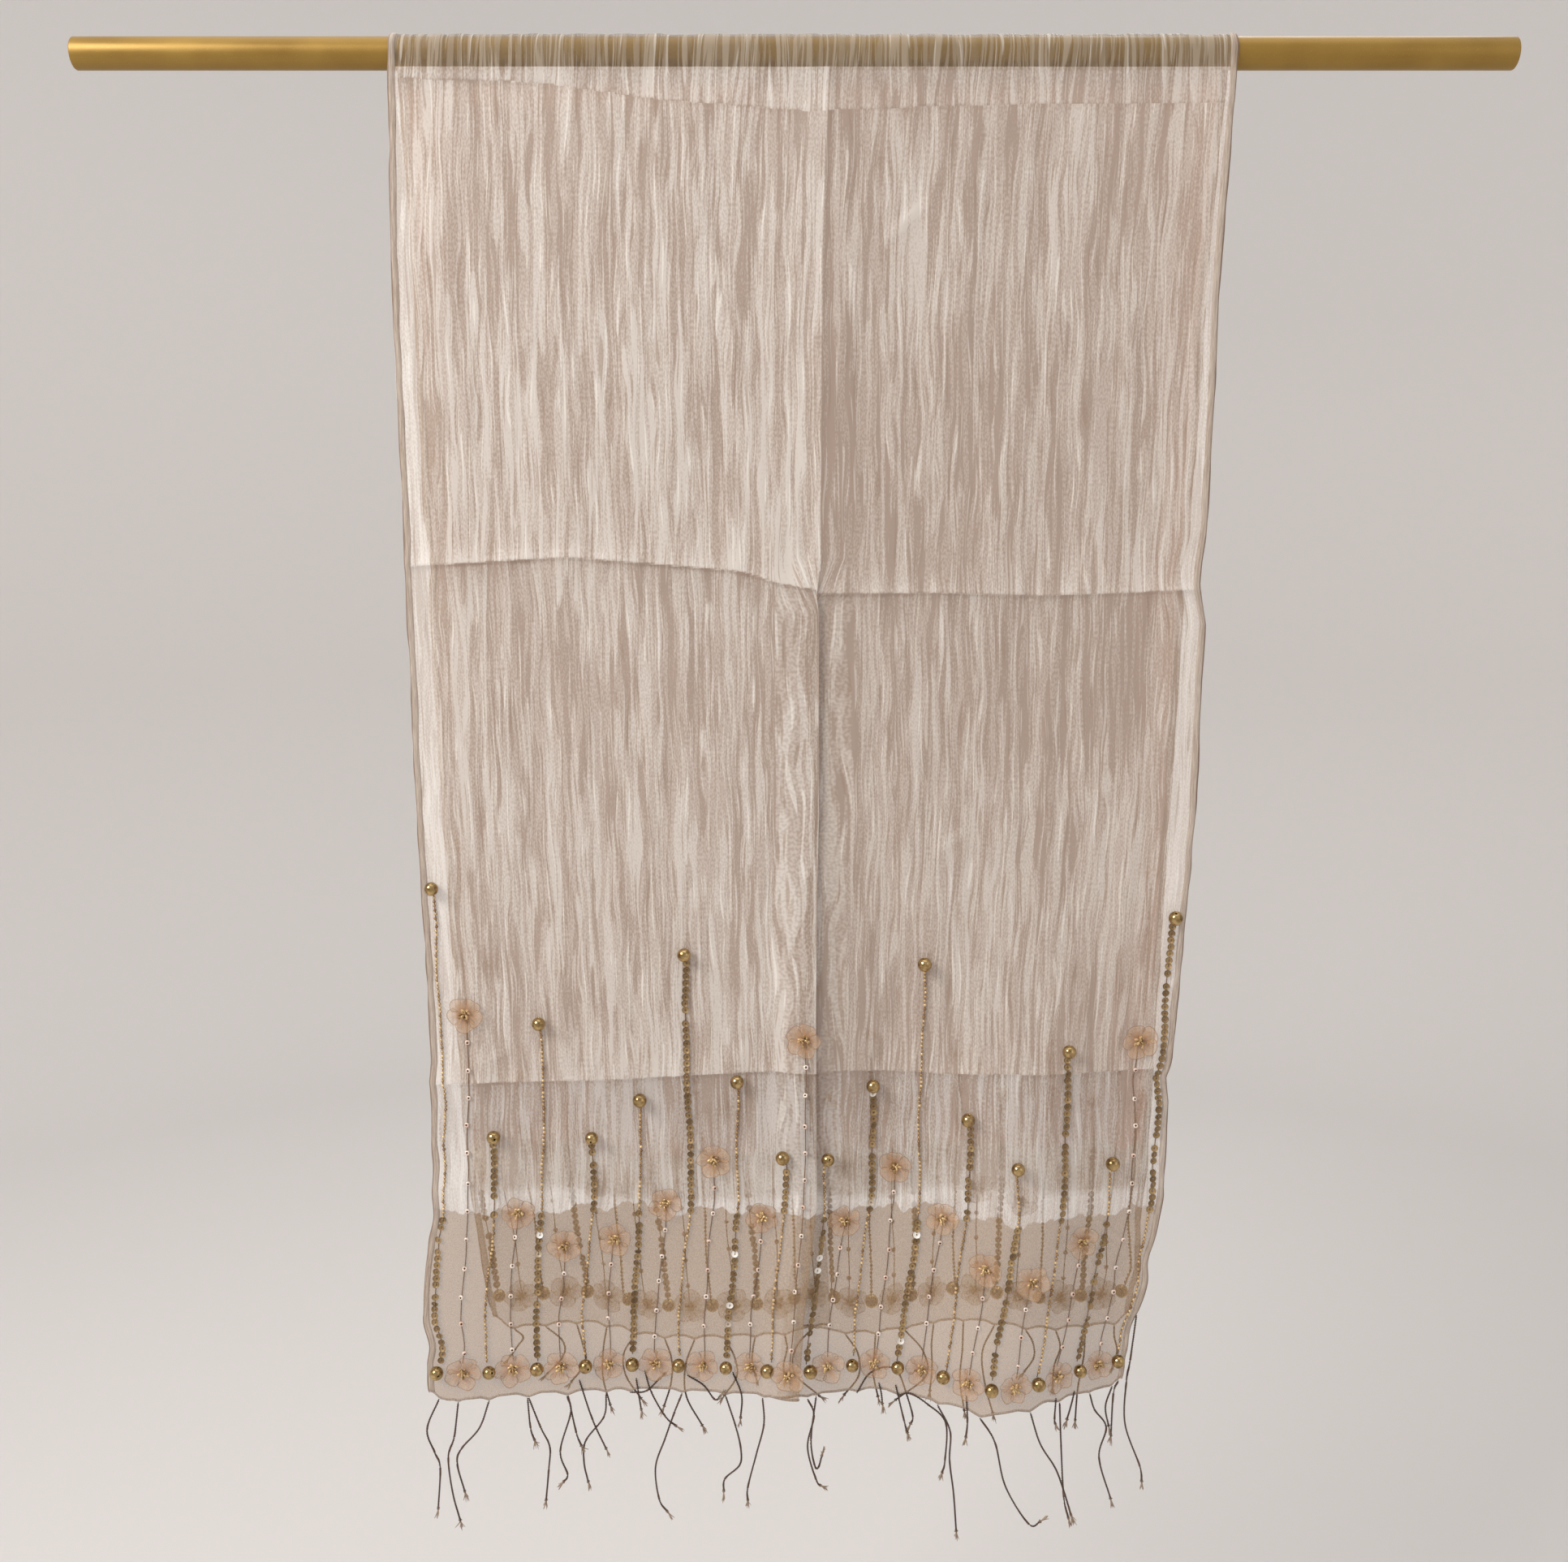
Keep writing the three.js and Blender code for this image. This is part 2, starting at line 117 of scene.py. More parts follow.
# Small things sewn on; turned shapes are (radius, height) pairs
BEAD_RADIUS, BEAD_HOLE, BEAD_LIFT = 5.4, 1.0, 5.6
BEADS_TURNED = 0.22
SEED_RADIUS, SEED_HOLE = 1.25, 0.3
SEQUIN = [(0.6, 0.55), (1.2, 0.15), (1.95, 0.3), (2.45, 0.75), (2.8, 0.95)]
SQUARE = [(0.65, 0.0), (0.65, 1.4), (0.9, 1.6), (1.5, 1.5), (1.8, 1.1), (1.8, 0.2)]
SMALL_SEGMENTS = 12
FLOWER_RADIUS, FLOWER_LIFT = 14.0, 0.8
PETALS = 5
PETAL_HALF_ANGLE = math.radians(44)
PETAL_REACH_STEPS, PETAL_ACROSS_STEPS = 8, 10
PETAL_STEP = 3.3
BUGLE = [(0.35, 1.8), (0.72, 1.85), (0.78, 0), (0.72, -1.85), (0.35, -1.8)]
BUGLES, BUGLE_SEGMENTS = 11, 7
BUGLE_RING, BUGLE_INNER_RING, HEART_LIFT = 3.1, 1.2, 3.4

Fold = namedtuple("Fold", "at half bulge take start")
Crease = namedtuple("Crease", "ridge line")
Wrinkle = namedtuple("Wrinkle", "at drop end_at end_drop ridge")

# edges: drop, left, right; nicks: drop, left and right shift of the edge alone; hang: at, extra;
# crease lines: at, drop; pleat: drop, middle, reach
FRONT = SimpleNamespace(
    name="front",
    outward=-1,
    length=1012,
    seed=11,
    edges=[
        (0, -284, 310), (140, -288, 304), (366, -286, 302), (540, -284, 303), (747, -279, 292),
        (850, -282, 291), (945, -291, 276), (1012, -287, 263),
    ],
    nicks=[(320, 0, 0), (372, 0, -4), (400, 0, 2), (470, 0, 0), (735, 0, 0), (750, -2, -3), (770, 0, 0)],
    folds=[
        Fold(-280, 70, 7, 0, 600),
        Fold(-125, 95, -6, 0, 600),
        Fold(0, 38, 11, 14, 380),
        Fold(68, 36, -5, 0, 500),
        Fold(178, 80, 22, 8, 560),
        Fold(298, 70, -13, 12, 640),
    ],
    hang=[(-298, 1), (100, 0), (178, 8), (298, 0)],
    creases=[
        Crease(1.0, [(-298, 19), (-190, 22), (-110, 33), (0, 41), (120, 37), (298, 35)]),
        Crease(3.0, [(-298, 358), (-175, 351), (-50, 361), (-10, 373), (22, 378), (298, 375)]),
        Crease(1.7, [(-298, 753), (-150, 751), (-20, 743), (110, 745), (170, 738), (298, 743)]),
    ],
    pleat=[(0, 12, 0), (352, 12, 0), (392, 7, 15), (740, 4, 16), (1012, 1, 18)],
    wrinkles=[
        Wrinkle(46, 138, 94, 93, 1.1),
        Wrinkle(-262, 744, -228, 716, 1.0),
        Wrinkle(96, 575, 128, 548, 0.8),
        Wrinkle(-60, 742, -44, 716, 0.9),
        Wrinkle(-215, 212, -190, 180, 0.7),
    ],
)
BACK = SimpleNamespace(
    name="back",
    outward=1,
    length=972,
    seed=51,
    edges=[
        (0, -284, 310), (120, -278, 302), (366, -275, 294), (560, -269, 288), (840, -260, 284),
        (972, -242, 277),
    ],
    nicks=[(340, 0, 0), (364, 3, -4), (390, 0, 0)],
    folds=[
        Fold(-215, 80, 17, 10, 240),
        Fold(-100, 70, -3, 0, 400),
        Fold(0, 40, 12, 16, 300),
        Fold(135, 85, 18, 10, 260),
        Fold(298, 80, 9, 4, 420),
    ],
    hang=[(-298, -4), (-160, 4), (298, -3)],
    creases=[
        Crease(1.0, [(-298, 28), (0, 36), (298, 30)]),
        Crease(2.6, [(-298, 362), (-60, 370), (40, 364), (298, 369)]),
        Crease(2.2, [(-298, 744), (-90, 751), (80, 746), (298, 750)]),
    ],
    pleat=[(0, -6, 0), (340, -6, 0), (390, -3, 15), (972, 2, 20)],
    wrinkles=[
        Wrinkle(-120, 150, -82, 112, 1.0),
        Wrinkle(205, 735, 236, 708, 1.0),
        Wrinkle(60, 480, 90, 452, 0.8),
    ],
)
STRIP = FRONT.length + TURN + BACK.length

# Loose threads of the front hem: start across, start above the hem, then steps (sideways, down) of the route
FRONT_THREADS = [
    (-281, 0, [(-10, 25), (-5, 46), (-1, 59), (-3, 93)]),
    (-266, 0, [(-4, 29), (-9, 46), (-6, 75), (-1, 101)]),
    (-242, 0, [(-8, 22), (-23, 40), (-27, 54), (-22, 80)]),
    (-212, 0, [(2, 25), (5, 37)]),
    (-211, 0, [(9, 25), (16, 41), (15, 60), (12, 88)]),
    (-181, 0, [(3, 13), (-6, 46), (-1, 68), (-5, 76)]),
    (-180, 0, [(6, 31), (10, 44)]),
    (-171, 10, [(10, 34), (21, 59)]),
    (-150, 0, [(-2, 19), (-17, 40), (-19, 60), (-16, 79)]),
    (-131, 0, [(13, -2), (25, -14)]),
    (-126, 10, [(2, 14), (4, 27)]),
    (-119, 16, [(5, 17), (16, 38), (25, 48)]),
    (-89, 0, [(-6, 15), (-14, 39), (-22, 64), (-19, 90), (-12, 101)]),
    (-85, 14, [(13, 8), (22, 20), (27, 16)]),
    (-54, 0, [(8, 25), (12, 44), (11, 60), (-1, 73), (-2, 83)]),
    (-49, 18, [(7, 19), (6, 40)]),
    (-24, 0, [(1, 22), (-5, 47), (-12, 75), (-12, 88)]),
    (11, 0, [(5, 13), (0, 40), (7, 70), (11, 76)]),
    (18, 0, [(-4, 36), (-1, 60), (2, 61), (5, 48)]),
    (51, 0, [(10, -18), (24, -23), (33, -18), (40, 1), (45, 20), (43, 27)]),
    (68, 6, [(2, 8), (3, 18)]),
    (81, 8, [(7, 30), (10, 42)]),
    (84, 0, [(9, -3), (23, 6), (38, 22), (38, 55), (36, 68)]),
    (115, 0, [(10, 21), (10, 46), (14, 77), (17, 112)]),
    (135, 12, [(1, 22), (0, 36)]),
    (147, 0, [(12, 20), (21, 57), (40, 88), (50, 87)]),
    (187, 0, [(8, 25), (21, 47), (30, 73), (35, 90)]),
    (208, 4, [(-1, 17), (0, 22)]),
    (212, 0, [(2, 36), (5, 80), (9, 98)]),
    (224, 4, [(-3, 12), (-6, 24)]),
    (238, 0, [(4, 13), (14, 29), (9, 55), (19, 90)]),
    (257, 0, [(-5, 17), (-2, 34)]),
    (262, 0, [(-4, 10), (-5, 47)]),
    (266, 60, [(-4, 38), (-6, 58), (-6, 94), (6, 128), (8, 142)]),
]
FRONT_THREAD_LIFT = 0.9
BACK_THREAD_LIFT = 0.6
BACK_THREAD_COUNT = 21
BACK_THREAD_LENGTHS = (24, 82)
BACK_STARTS = np.linspace(-226, 262, BACK_THREAD_COUNT)
HEM_SAMPLES = 200
THREAD_HALF_WIDTHS, THREAD_TWIST, THREAD_SIDES = (1.06, 0.68), 3.4, 6
THREAD_STEP = 0.9
KNOT_SIZES = (1.3, 1.7, 1.1)
TUFT_FIBRES, TUFT_LENGTHS, TUFT_RADIUS = 9, (5, 8), 0.4
TUFT_SIZES = np.array([1.0, 1.1, 1.0, 0.8, 0.4])
TUBE_TIP = 0.05
TUBE_SIDE_HINT = np.array([0.31, 0.92, 0.23])


# Numbers and fields

def smooth(value):
    """Eased step from 0 to 1."""
    value = np.clip(value, 0, 1)
    return value * value * (3 - 2 * value)


def read(table, value, column=1):
    """A column of a table, read off between its rows by the first column."""
    return np.interp(value, [row[0] for row in table], [row[column] for row in table])


LATTICE = 97


def patches(seed, x, y):
    """Smooth random field from -1 to 1, with one random value for each unit cell."""
    lattice = np.random.default_rng(seed).uniform(-1, 1, (LATTICE, LATTICE))
    column = np.floor(x).astype(int)
    row = np.floor(y).astype(int)
    right = smooth(x - column)
    up = smooth(y - row)

    def value(step_x, step_y):
        return lattice[(column + step_x) % LATTICE, (row + step_y) % LATTICE]

    low = value(0, 0) * (1 - right) + value(1, 0) * right
    high = value(0, 1) * (1 - right) + value(1, 1) * right
    return low * (1 - up) + high * up


# The cloth's surface

def pressed(past, gentle, steep):
    """Section of a pressed fold: a ridge that rises gently up to the line and falls steeply past it."""
    before = np.exp(np.minimum(past, 0) / gentle)
    after = np.maximum(past, 0)
    return np.where(past < 0, before, 0.4 * np.exp(-after / (1.5 * gentle)) + 0.6 * np.exp(-after / steep))


def crease_ridge(panel, at, drop):
    """The fold lines across the cloth, puckered here and there."""
    total = np.zeros_like(drop)
    for crease in panel.creases:
        below = drop - read(crease.line, at)
        pucker = 0.3 * patches(panel.seed + 7, at / 8, drop / 11) * np.exp(-np.abs(below) / 11)
        total += crease.ridge * (pressed(below, *CREASE_SECTION) + pucker)
    return total


def wrinkle_height(panel, at, drop):
    """Short slanting wrinkles, each a ridge that fades towards its ends."""
    total = np.zeros_like(drop)
    for wrinkle in panel.wrinkles:
        run = np.array([wrinkle.end_at - wrinkle.at, wrinkle.end_drop - wrinkle.drop])
        length = np.hypot(*run)
        along = ((at - wrinkle.at) * run[0] + (drop - wrinkle.drop) * run[1]) / length ** 2
        aside = ((at - wrinkle.at) * run[1] - (drop - wrinkle.drop) * run[0]) / length
        fade = smooth(1 - np.abs(2 * along - 1))
        total += wrinkle.ridge * fade * np.exp(-((aside / WRINKLE_WIDTH) ** 2))
    return total


def crinkle(panel, at, drop):
    """Long soft folds and fine crinkles. All but the widest stop at the plain border."""
    wide, folds, fine = (height * patches(panel.seed + index, at / across, drop / down)
                         for index, (height, across, down) in enumerate(CRINKLES))
    crinkled = smooth((panel.length - PLAIN_BORDER - drop) / 25)
    return smooth(drop / 30) * (wide + (folds + fine) * crinkled)


def fold_growth(panel, fold, drop):
    """Share of a fold's full size, which it reaches at the hem."""
    return smooth((drop - fold.start) / (panel.length - fold.start))


def fold_bulge(panel, at, drop):
    """How far the hanging folds push the cloth out."""
    total = np.zeros_like(drop)
    for fold in panel.folds:
        side = np.clip((at - fold.at) / fold.half, -1, 1)
        total += fold.bulge * fold_growth(panel, fold, drop) * (1 + np.cos(side * math.pi)) / 2
    return total


def shown_across(panel, at, drop):
    """Place across the cloth, less what the folds before it take up."""
    shown = at + 0 * drop
    for fold in panel.folds:
        side = np.clip((at - fold.at) / fold.half, -1, 1)
        shown -= fold.take * fold_growth(panel, fold, drop) * (1 + np.sin(side * math.pi / 2)) / 2
    return shown


def hang_x(panel, at, drop):
    """Place along the rail, between the fall's edges and less what the folds take up."""
    left, right = (read(panel.edges, drop, column) for column in (1, 2))
    first, shown, last = (shown_across(panel, place, drop) for place in (-HALF_WIDTH, at, HALF_WIDTH))
    return left + (right - left) * (shown - first) / (last - first)


def edge_waves(panel, at, drop):
    """Sideways and outward waves of the long edges, stronger towards the hem."""
    edge = smooth((np.abs(at) - EDGE_FROM) / EDGE_FADE)
    wave = (EDGE_WAVE + EDGE_WAVE_LOW * smooth((drop - EDGE_WAVE_FROM) / 190)) * smooth(drop / 40)
    sideways = wave * patches(panel.seed + 3, np.sign(at) * 9 + 20, drop / EDGE_WAVE_LENGTH)
    sideways += np.where(at < 0, read(panel.nicks, drop), read(panel.nicks, drop, 2))
    flare = EDGE_FLARE * smooth((drop - EDGE_FLARE_FROM) / 200)
    outward = flare * patches(panel.seed + 4, at / 30, drop / EDGE_FLARE_LENGTH)
    return edge * sideways, edge * outward


def hem_points(panel, x):
    """How far the end hem is pulled down at each loose thread."""
    starts = [row[0] for row in FRONT_THREADS if row[1] == 0] if panel is FRONT else BACK_STARTS
    pull = HEM_DRIFT * patches(panel.seed + 5, x / HEM_DRIFT_LENGTH, x * 0)
    for start in starts:
        pull = np.maximum(pull, HEM_POINT * (1 - np.abs(x - start) / HEM_POINT_HALF))
    return pull


def hang_point(panel, at, drop, pleated):
    """Points of one fall, with the middle pleat laid over or only raised."""
    middle = read(panel.pleat, drop)
    turn = np.clip((at - middle) / PLEAT_HALF, -1, 1)
    reach = read(panel.pleat, drop, 2) if pleated else np.zeros_like(drop)
    laid_over = np.sin(math.pi * turn)
    sideways, outward = edge_waves(panel, at, drop)
    x = hang_x(panel, at, drop) + sideways - reach * laid_over
    out = crease_ridge(panel, at, drop) * smooth(drop / 12) + crinkle(panel, at, drop) + outward
    out += wrinkle_height(panel, at, drop) + fold_bulge(panel, at - reach * laid_over, drop)
    out += MIDDLE_RIDGE * pressed(at - middle, *MIDDLE_SECTION) * smooth(drop / 20)
    if pleated:
        out -= PLEAT_DEPTH * laid_over * np.clip(reach / PLEAT_FULL_REACH, 0, 1)
    else:
        out += PLEAT_DEPTH * (1 - np.abs(turn))
    above_hem = panel.length - drop
    corner = smooth((np.abs(at) - CORNER_FROM) / CORNER_FADE) * smooth(1 - above_hem / CORNER_HEIGHT)
    z = -drop - read(panel.hang, at) * drop / panel.length + CORNER_LIFT * corner
    z -= hem_points(panel, x) * smooth(1 - above_hem / HEM_DRIFT_HEIGHT)
    return np.stack([x, panel.outward * (CLOTH_RADIUS + out), z], -1)


def along_of(panel, drop):
    """Place along the cloth of a drop below the rail."""
    return FRONT.length - drop if panel is FRONT else FRONT.length + TURN + drop


def drop_of(panel, along):
    """Drop below the rail of a place along the cloth, below zero where it isn't on this fall."""
    return FRONT.length - along if panel is FRONT else along - FRONT.length - TURN


def strip_point(at, along, pleated=True):
    """Points of the whole cloth, from the front hem over the rail to the back hem."""
    at, along = (np.array(part, float) for part in np.broadcast_arrays(at, along))
    front, back = (hang_point(panel, at, np.clip(drop_of(panel, along), 0, panel.length), pleated)
                   for panel in (FRONT, BACK))
    angle = np.clip((along - FRONT.length) / TURN, 0, 1) * math.pi
    radius = CLOTH_RADIUS + np.sin(angle) * BUNCH_ON_RAIL * (1 + patches(5, at / 6, angle / 2))
    over = np.stack([front[..., 0], -radius * np.cos(angle), radius * np.sin(angle)], -1)
    on_front = (along <= FRONT.length)[..., None]
    on_back = (along >= FRONT.length + TURN)[..., None]
    return np.where(on_front, front, np.where(on_back, back, over))


def unit(vectors):
    return vectors / np.maximum(np.linalg.norm(vectors, axis=-1, keepdims=True), 1e-9)


def up_sign(along):
    """1 where the way along the cloth goes up, on the front, and -1 where it goes down."""
    return np.where(along > FRONT.length + TURN / 2, -1, 1)[..., None]


def seat(at, along, lift=0.0, pleated=False):
    """Seats on the cloth: origins, and axes with rows right, up and out."""
    at, along = (np.array(part, float) for part in np.broadcast_arrays(at, along))
    across = strip_point(at + SEAT_STEP, along, pleated) - strip_point(at - SEAT_STEP, along, pleated)
    forward = strip_point(at, along + SEAT_STEP, pleated) - strip_point(at, along - SEAT_STEP, pleated)
    out = unit(np.cross(across, forward))
    up = unit(forward) * up_sign(along)
    right = unit(np.cross(up, out))
    origins = strip_point(at, along, pleated) + out * np.asarray(lift, float)[..., None]
    return origins, np.stack([right, up, out], -2)


# Meshes

def make_mesh(name, points, faces, material):
    """A smooth mesh object, from points in millimetres."""
    mesh = bpy.data.meshes.new(name)
    mesh.from_pydata((np.asarray(points) * MM).tolist(), [], np.asarray(faces).tolist())
    mesh.polygons.foreach_set("use_smooth", np.ones(len(mesh.polygons), bool))
    mesh.materials.append(material)
    made = bpy.data.objects.new(name, mesh)
    bpy.context.scene.collection.objects.link(made)
    return made


def make_piece(name, points, faces, material, nodes=(), uv=None, values=None):
    """A mesh piece that rides on the part's one body."""
    piece = make_mesh(name, points, faces, material)
    mesh = piece.data
    for key, numbers in (values or {}).items():
        layer = mesh.attributes.new(key, "FLOAT", "POINT")
        layer.data.foreach_set("value", np.asarray(numbers, np.float32))
    if uv is not None:
        layer = mesh.uv_layers.new(name="cloth")
        corners = np.zeros(len(mesh.loops), np.int32)
        mesh.loops.foreach_get("vertex_index", corners)
        layer.data.foreach_set("uv", (np.asarray(uv) * MM)[corners].astype(np.float32).ravel())
    mesh.update()
    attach(piece, BODY)
    if nodes:
        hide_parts(*nodes)
    return piece


def grid_faces(rows, columns, wrap=False):
    """Quads of a grid of points stored row by row."""
    row = np.arange(rows - 1)[:, None]
    column = np.arange(columns if wrap else columns - 1)[None, :]
    after = (column + 1) % columns
    corners = [row * columns + column, row * columns + after,
               (row + 1) * columns + after, (row + 1) * columns + column]
    return np.stack(np.broadcast_arrays(*corners), -1).reshape(-1, 4)


def circle(count):
    """Even angles around a circle."""
    return np.arange(count) * FULL_TURN / count


def lathe(profile, segments, closed):
    """Points and faces turned about the third axis from (radius, height) pairs."""
    radius, height = np.array(profile, float).T[:, :, None]
    angles = circle(segments)
    points = np.stack(np.broadcast_arrays(radius * np.cos(angles), radius * np.sin(angles), height), -1)
    faces = grid_faces(len(profile), segments, wrap=True)
    if closed:
        last = (len(profile) - 1) * segments
        column = np.arange(segments)
        after = (column + 1) % segments
        faces = np.concatenate([faces, np.stack([last + column, last + after, after, column], -1)])
    return points.reshape(-1, 3), faces[:, ::-1]


def copies(template, origins, axes, sizes):
    """One mesh of many copies: each with its own origin, axes and size."""
    points, faces = template
    placed = np.einsum("pk,nkc->npc", points, axes) * sizes[:, None, None] + origins[:, None, :]
    shifted = faces[None] + (np.arange(len(origins)) * len(points))[:, None, None]
    return placed.reshape(-1, 3), shifted.reshape(-1, faces.shape[1])


def turned(axes, about, angles):
    """Axes turned about one of their own rows, by an angle each."""
    first, second = (about + 1) % 3, (about + 2) % 3
    result = axes.copy()
    cosine, sine = np.cos(angles)[:, None], np.sin(angles)[:, None]
    result[:, first] = cosine * axes[:, first] + sine * axes[:, second]
    result[:, second] = cosine * axes[:, second] - sine * axes[:, first]
    return result


def joined(parts):
    """Several (points, faces) as one."""
    points, faces, start = [], [], 0
    for part_points, part_faces in parts:
        points.append(part_points)
        faces.append(part_faces + start)
        start += len(part_points)
    return np.concatenate(points), np.concatenate(faces)


def spline(corners, step):
    """Smooth path through given points, with about even steps."""
    corners = np.array(corners, float)
    before = np.vstack([2 * corners[0] - corners[1], corners, 2 * corners[-1] - corners[-2]])
    path = []
    for index in range(1, len(before) - 2):
        p0, p1, p2, p3 = before[index - 1:index + 3]
        count = max(2, int(round(np.linalg.norm(p2 - p1) / step)))
        t = np.arange(count)[:, None] / count
        path.append(p1 + 0.5 * t * (p2 - p0 + t * (2 * p0 - 5 * p1 + 4 * p2 - p3
                                                  + t * (3 * (p1 - p2) + p3 - p0))))
    path.append(corners[-1:])
    return np.concatenate(path)


def tube(path, wide, thin, sides, twist_length=None, taper=None):
    """Closed tube of oval section along a path. The oval turns once in each twist length."""
    path = np.asarray(path, float)
    size = np.ones(len(path)) if taper is None else taper
    ahead = unit(np.gradient(path, axis=0))
    side = unit(np.cross(ahead, TUBE_SIDE_HINT))
    lift = np.cross(side, ahead)
    run = np.concatenate([[0], np.cumsum(np.linalg.norm(np.diff(path, axis=0), axis=1))])
    spin = np.zeros((len(path), 1)) if twist_length is None else run[:, None] / twist_length * FULL_TURN
    flat = wide * np.cos(circle(sides))
    thick = thin * np.sin(circle(sides))
    u = (flat * np.cos(spin) - thick * np.sin(spin))[..., None]
    v = (flat * np.sin(spin) + thick * np.cos(spin))[..., None]
    rings = path[:, None] + (side[:, None] * u + lift[:, None] * v) * size[:, None, None]
    first, last = (path[end] + TUBE_TIP * (rings[end] - path[end]) for end in (0, -1))
    points = np.concatenate([first, rings.reshape(-1, 3), last])
    return points, grid_faces(len(path) + 2, sides, wrap=True)[:, ::-1]


# Materials

class Value:
    """A node's output, which +, - and * carry on into further nodes."""

    def __init__(self, paint, socket):
        self.paint = paint
        self.socket = socket

    def __add__(self, other):
        return self.paint.math("ADD", self, other)

    def __sub__(self, other):
        return self.paint.math("SUBTRACT", self, other)

    def __rsub__(self, other):
        return self.paint.math("SUBTRACT", other, self)

    def __mul__(self, other):
        return self.paint.math("MULTIPLY", self, other)


class Paint:
    """A node material, with short calls for the nodes used here."""

    def __init__(self, name):
        self.material = bpy.data.materials.new(name)
        self.material.use_nodes = True
        self.nodes = self.material.node_tree.nodes
        self.links = self.material.node_tree.links
        self.shader = self.nodes["Principled BSDF"]

    def put(self, socket, value):
        if isinstance(value, Value):
            self.links.new(value.socket, socket)
        elif isinstance(value, tuple):
            socket.default_value = (*value, 1)
        else:
            socket.default_value = value

    def node(self, kind, inputs, output=0, **settings):
        made = self.nodes.new(kind)
        for key, value in settings.items():
            setattr(made, key, value)
        for key, value in inputs.items():
            self.put(made.inputs[key], value)
        return Value(self, made.outputs[output])

    def math(self, operation, *values):
        return self.node("ShaderNodeMath", dict(enumerate(values)), operation=operation)

    def level(self, value, low, high, start=0.0, end=1.0):
        """A value spread from low..high to start..end, and held there outside."""
        inputs = {"Value": value, "From Min": low, "From Max": high, "To Min": start, "To Max": end}
        return self.node("ShaderNodeMapRange", inputs)

    def mix(self, factor, first, second):
        return self.node("ShaderNodeMix", {0: factor, 6: first, 7: second}, output=2, data_type="RGBA")

    def blend(self, factor, first, second):
        return self.node("ShaderNodeMix", {0: factor, 2: first, 3: second}, data_type="FLOAT")

    def noise(self, vector, scale=1.0, detail=2.0, rough=0.5, distortion=0.0, dimensions="3D"):
        inputs = {"Vector": vector, "Scale": scale, "Detail": detail, "Roughness": rough}
        inputs["Distortion"] = distortion
        return self.node("ShaderNodeTexNoise", inputs, noise_dimensions=dimensions)

    def flat_noise(self, x, y, detail=0.0):
        return self.noise(self.vector(x, y), detail=detail, rough=0.6, dimensions="2D")

    def vector(self, x, y, z=0.0):
        return self.node("ShaderNodeCombineXYZ", {0: x, 1: y, 2: z})

    def value_of(self, attribute):
        return self.node("ShaderNodeAttribute", {}, output="Fac", attribute_name=attribute)

    def underside(self):
        """1 where a face is seen from its wrong side."""
        return self.node("ShaderNodeNewGeometry", {}, output="Backfacing")

    def place(self):
        """Across and along on the cloth, in metres."""
        flat = self.node("ShaderNodeUVMap", {}, uv_map="cloth")
        return [self.node("ShaderNodeSeparateXYZ", {0: flat}, output=axis) for axis in (0, 1)]

    def end_gap(self, along):
        """Distance from the nearer end of the cloth, in metres."""
        return self.math("MINIMUM", along, STRIP * MM - along)

    def space(self):
        return self.node("ShaderNodeTexCoord", {}, output="Object")

    def bump(self, height, strength, distance):
        inputs = {"Height": height, "Strength": strength, "Distance": distance * MM}
        return self.node("ShaderNodeBump", inputs)

    def set(self, **values):
        for key, value in values.items():
            self.put(self.shader.inputs[key.replace("_", " ")], value)
        return self.material


# Organza, as linear colours: what the fibres reflect, painted highlight and painted shade, and how much of
# the view they cover
CRINKLE_LIGHT = (0.96, 0.885, 0.81)
CRINKLE_DARK = (0.76, 0.605, 0.49)
# Painted highlight on the fine crinkles
CRINKLE_PAINTED_HIGHLIGHT = (0.97, 0.93, 0.86)
# Painted shade colour of the fine crinkle lines and of the pressed folds
CRINKLE_SHADE = (0.40, 0.29, 0.21)
# Painted shade between the falls: colours of the cloth's inner side where the falls hang one behind the
# other
PAINTED_SHADE_INSIDE_LIGHT = (0.76, 0.455, 0.315)
PAINTED_SHADE_INSIDE_DARK = (0.51, 0.275, 0.175)
# Colour of the painted shade along the back fall's left edge
EDGE_PAINTED_SHADE_COLOUR = (0.10, 0.06, 0.04)
PLAIN_COLOUR = (0.38, 0.237, 0.118)
PLAIN_THREAD = (0.58, 0.44, 0.32)
# Painted shade between the falls in the plain border, on the inner side
PLAIN_PAINTED_SHADE_INSIDE = (0.44, 0.285, 0.145)
LOW_BAND_COLOUR = (0.95, 0.91, 0.87)
# Cloth over the rail painted in shade: darker copies of the streak colours
ON_RAIL_PAINTED_SHADE_DARK = (0.27, 0.205, 0.145)
ON_RAIL_PAINTED_SHADE_LIGHT = (0.48, 0.40, 0.31)
# The inner side covers more, so that its painted shade hides the backdrop between the falls
COVER_LIGHT, COVER_DARK, COVER_PAINTED_SHADE_INSIDE = 0.64, 0.42, 0.82
COVER_PLAIN, COVER_PLAIN_SPREAD = 0.56, 0.03
COVER_PLAIN_PAINTED_SHADE_INSIDE, COVER_BORDER_TOP, COVER_UNDER_PLEAT = 0.24, 0.72, 0.22
TOP_BAND_COVER, LOW_BAND_COVER = 0.92, 0.84
ON_RAIL_COVER = (0.34, 0.58)

# Streaks: noise cells in a metre across and along, offset in the noise, its detail, levels of an edge
Streak = namedtuple("Streak", "across along offset detail low high")
BROAD = Streak(90.0, 5.2, 0.0, 3.0, 0.478, 0.505)
NARROW = Streak(270.0, 9.0, 237.1, 2.0, 0.475, 0.53)
TONE = Streak(16.0, 4.0, 391.3, 0.0, 0.35, 0.65)
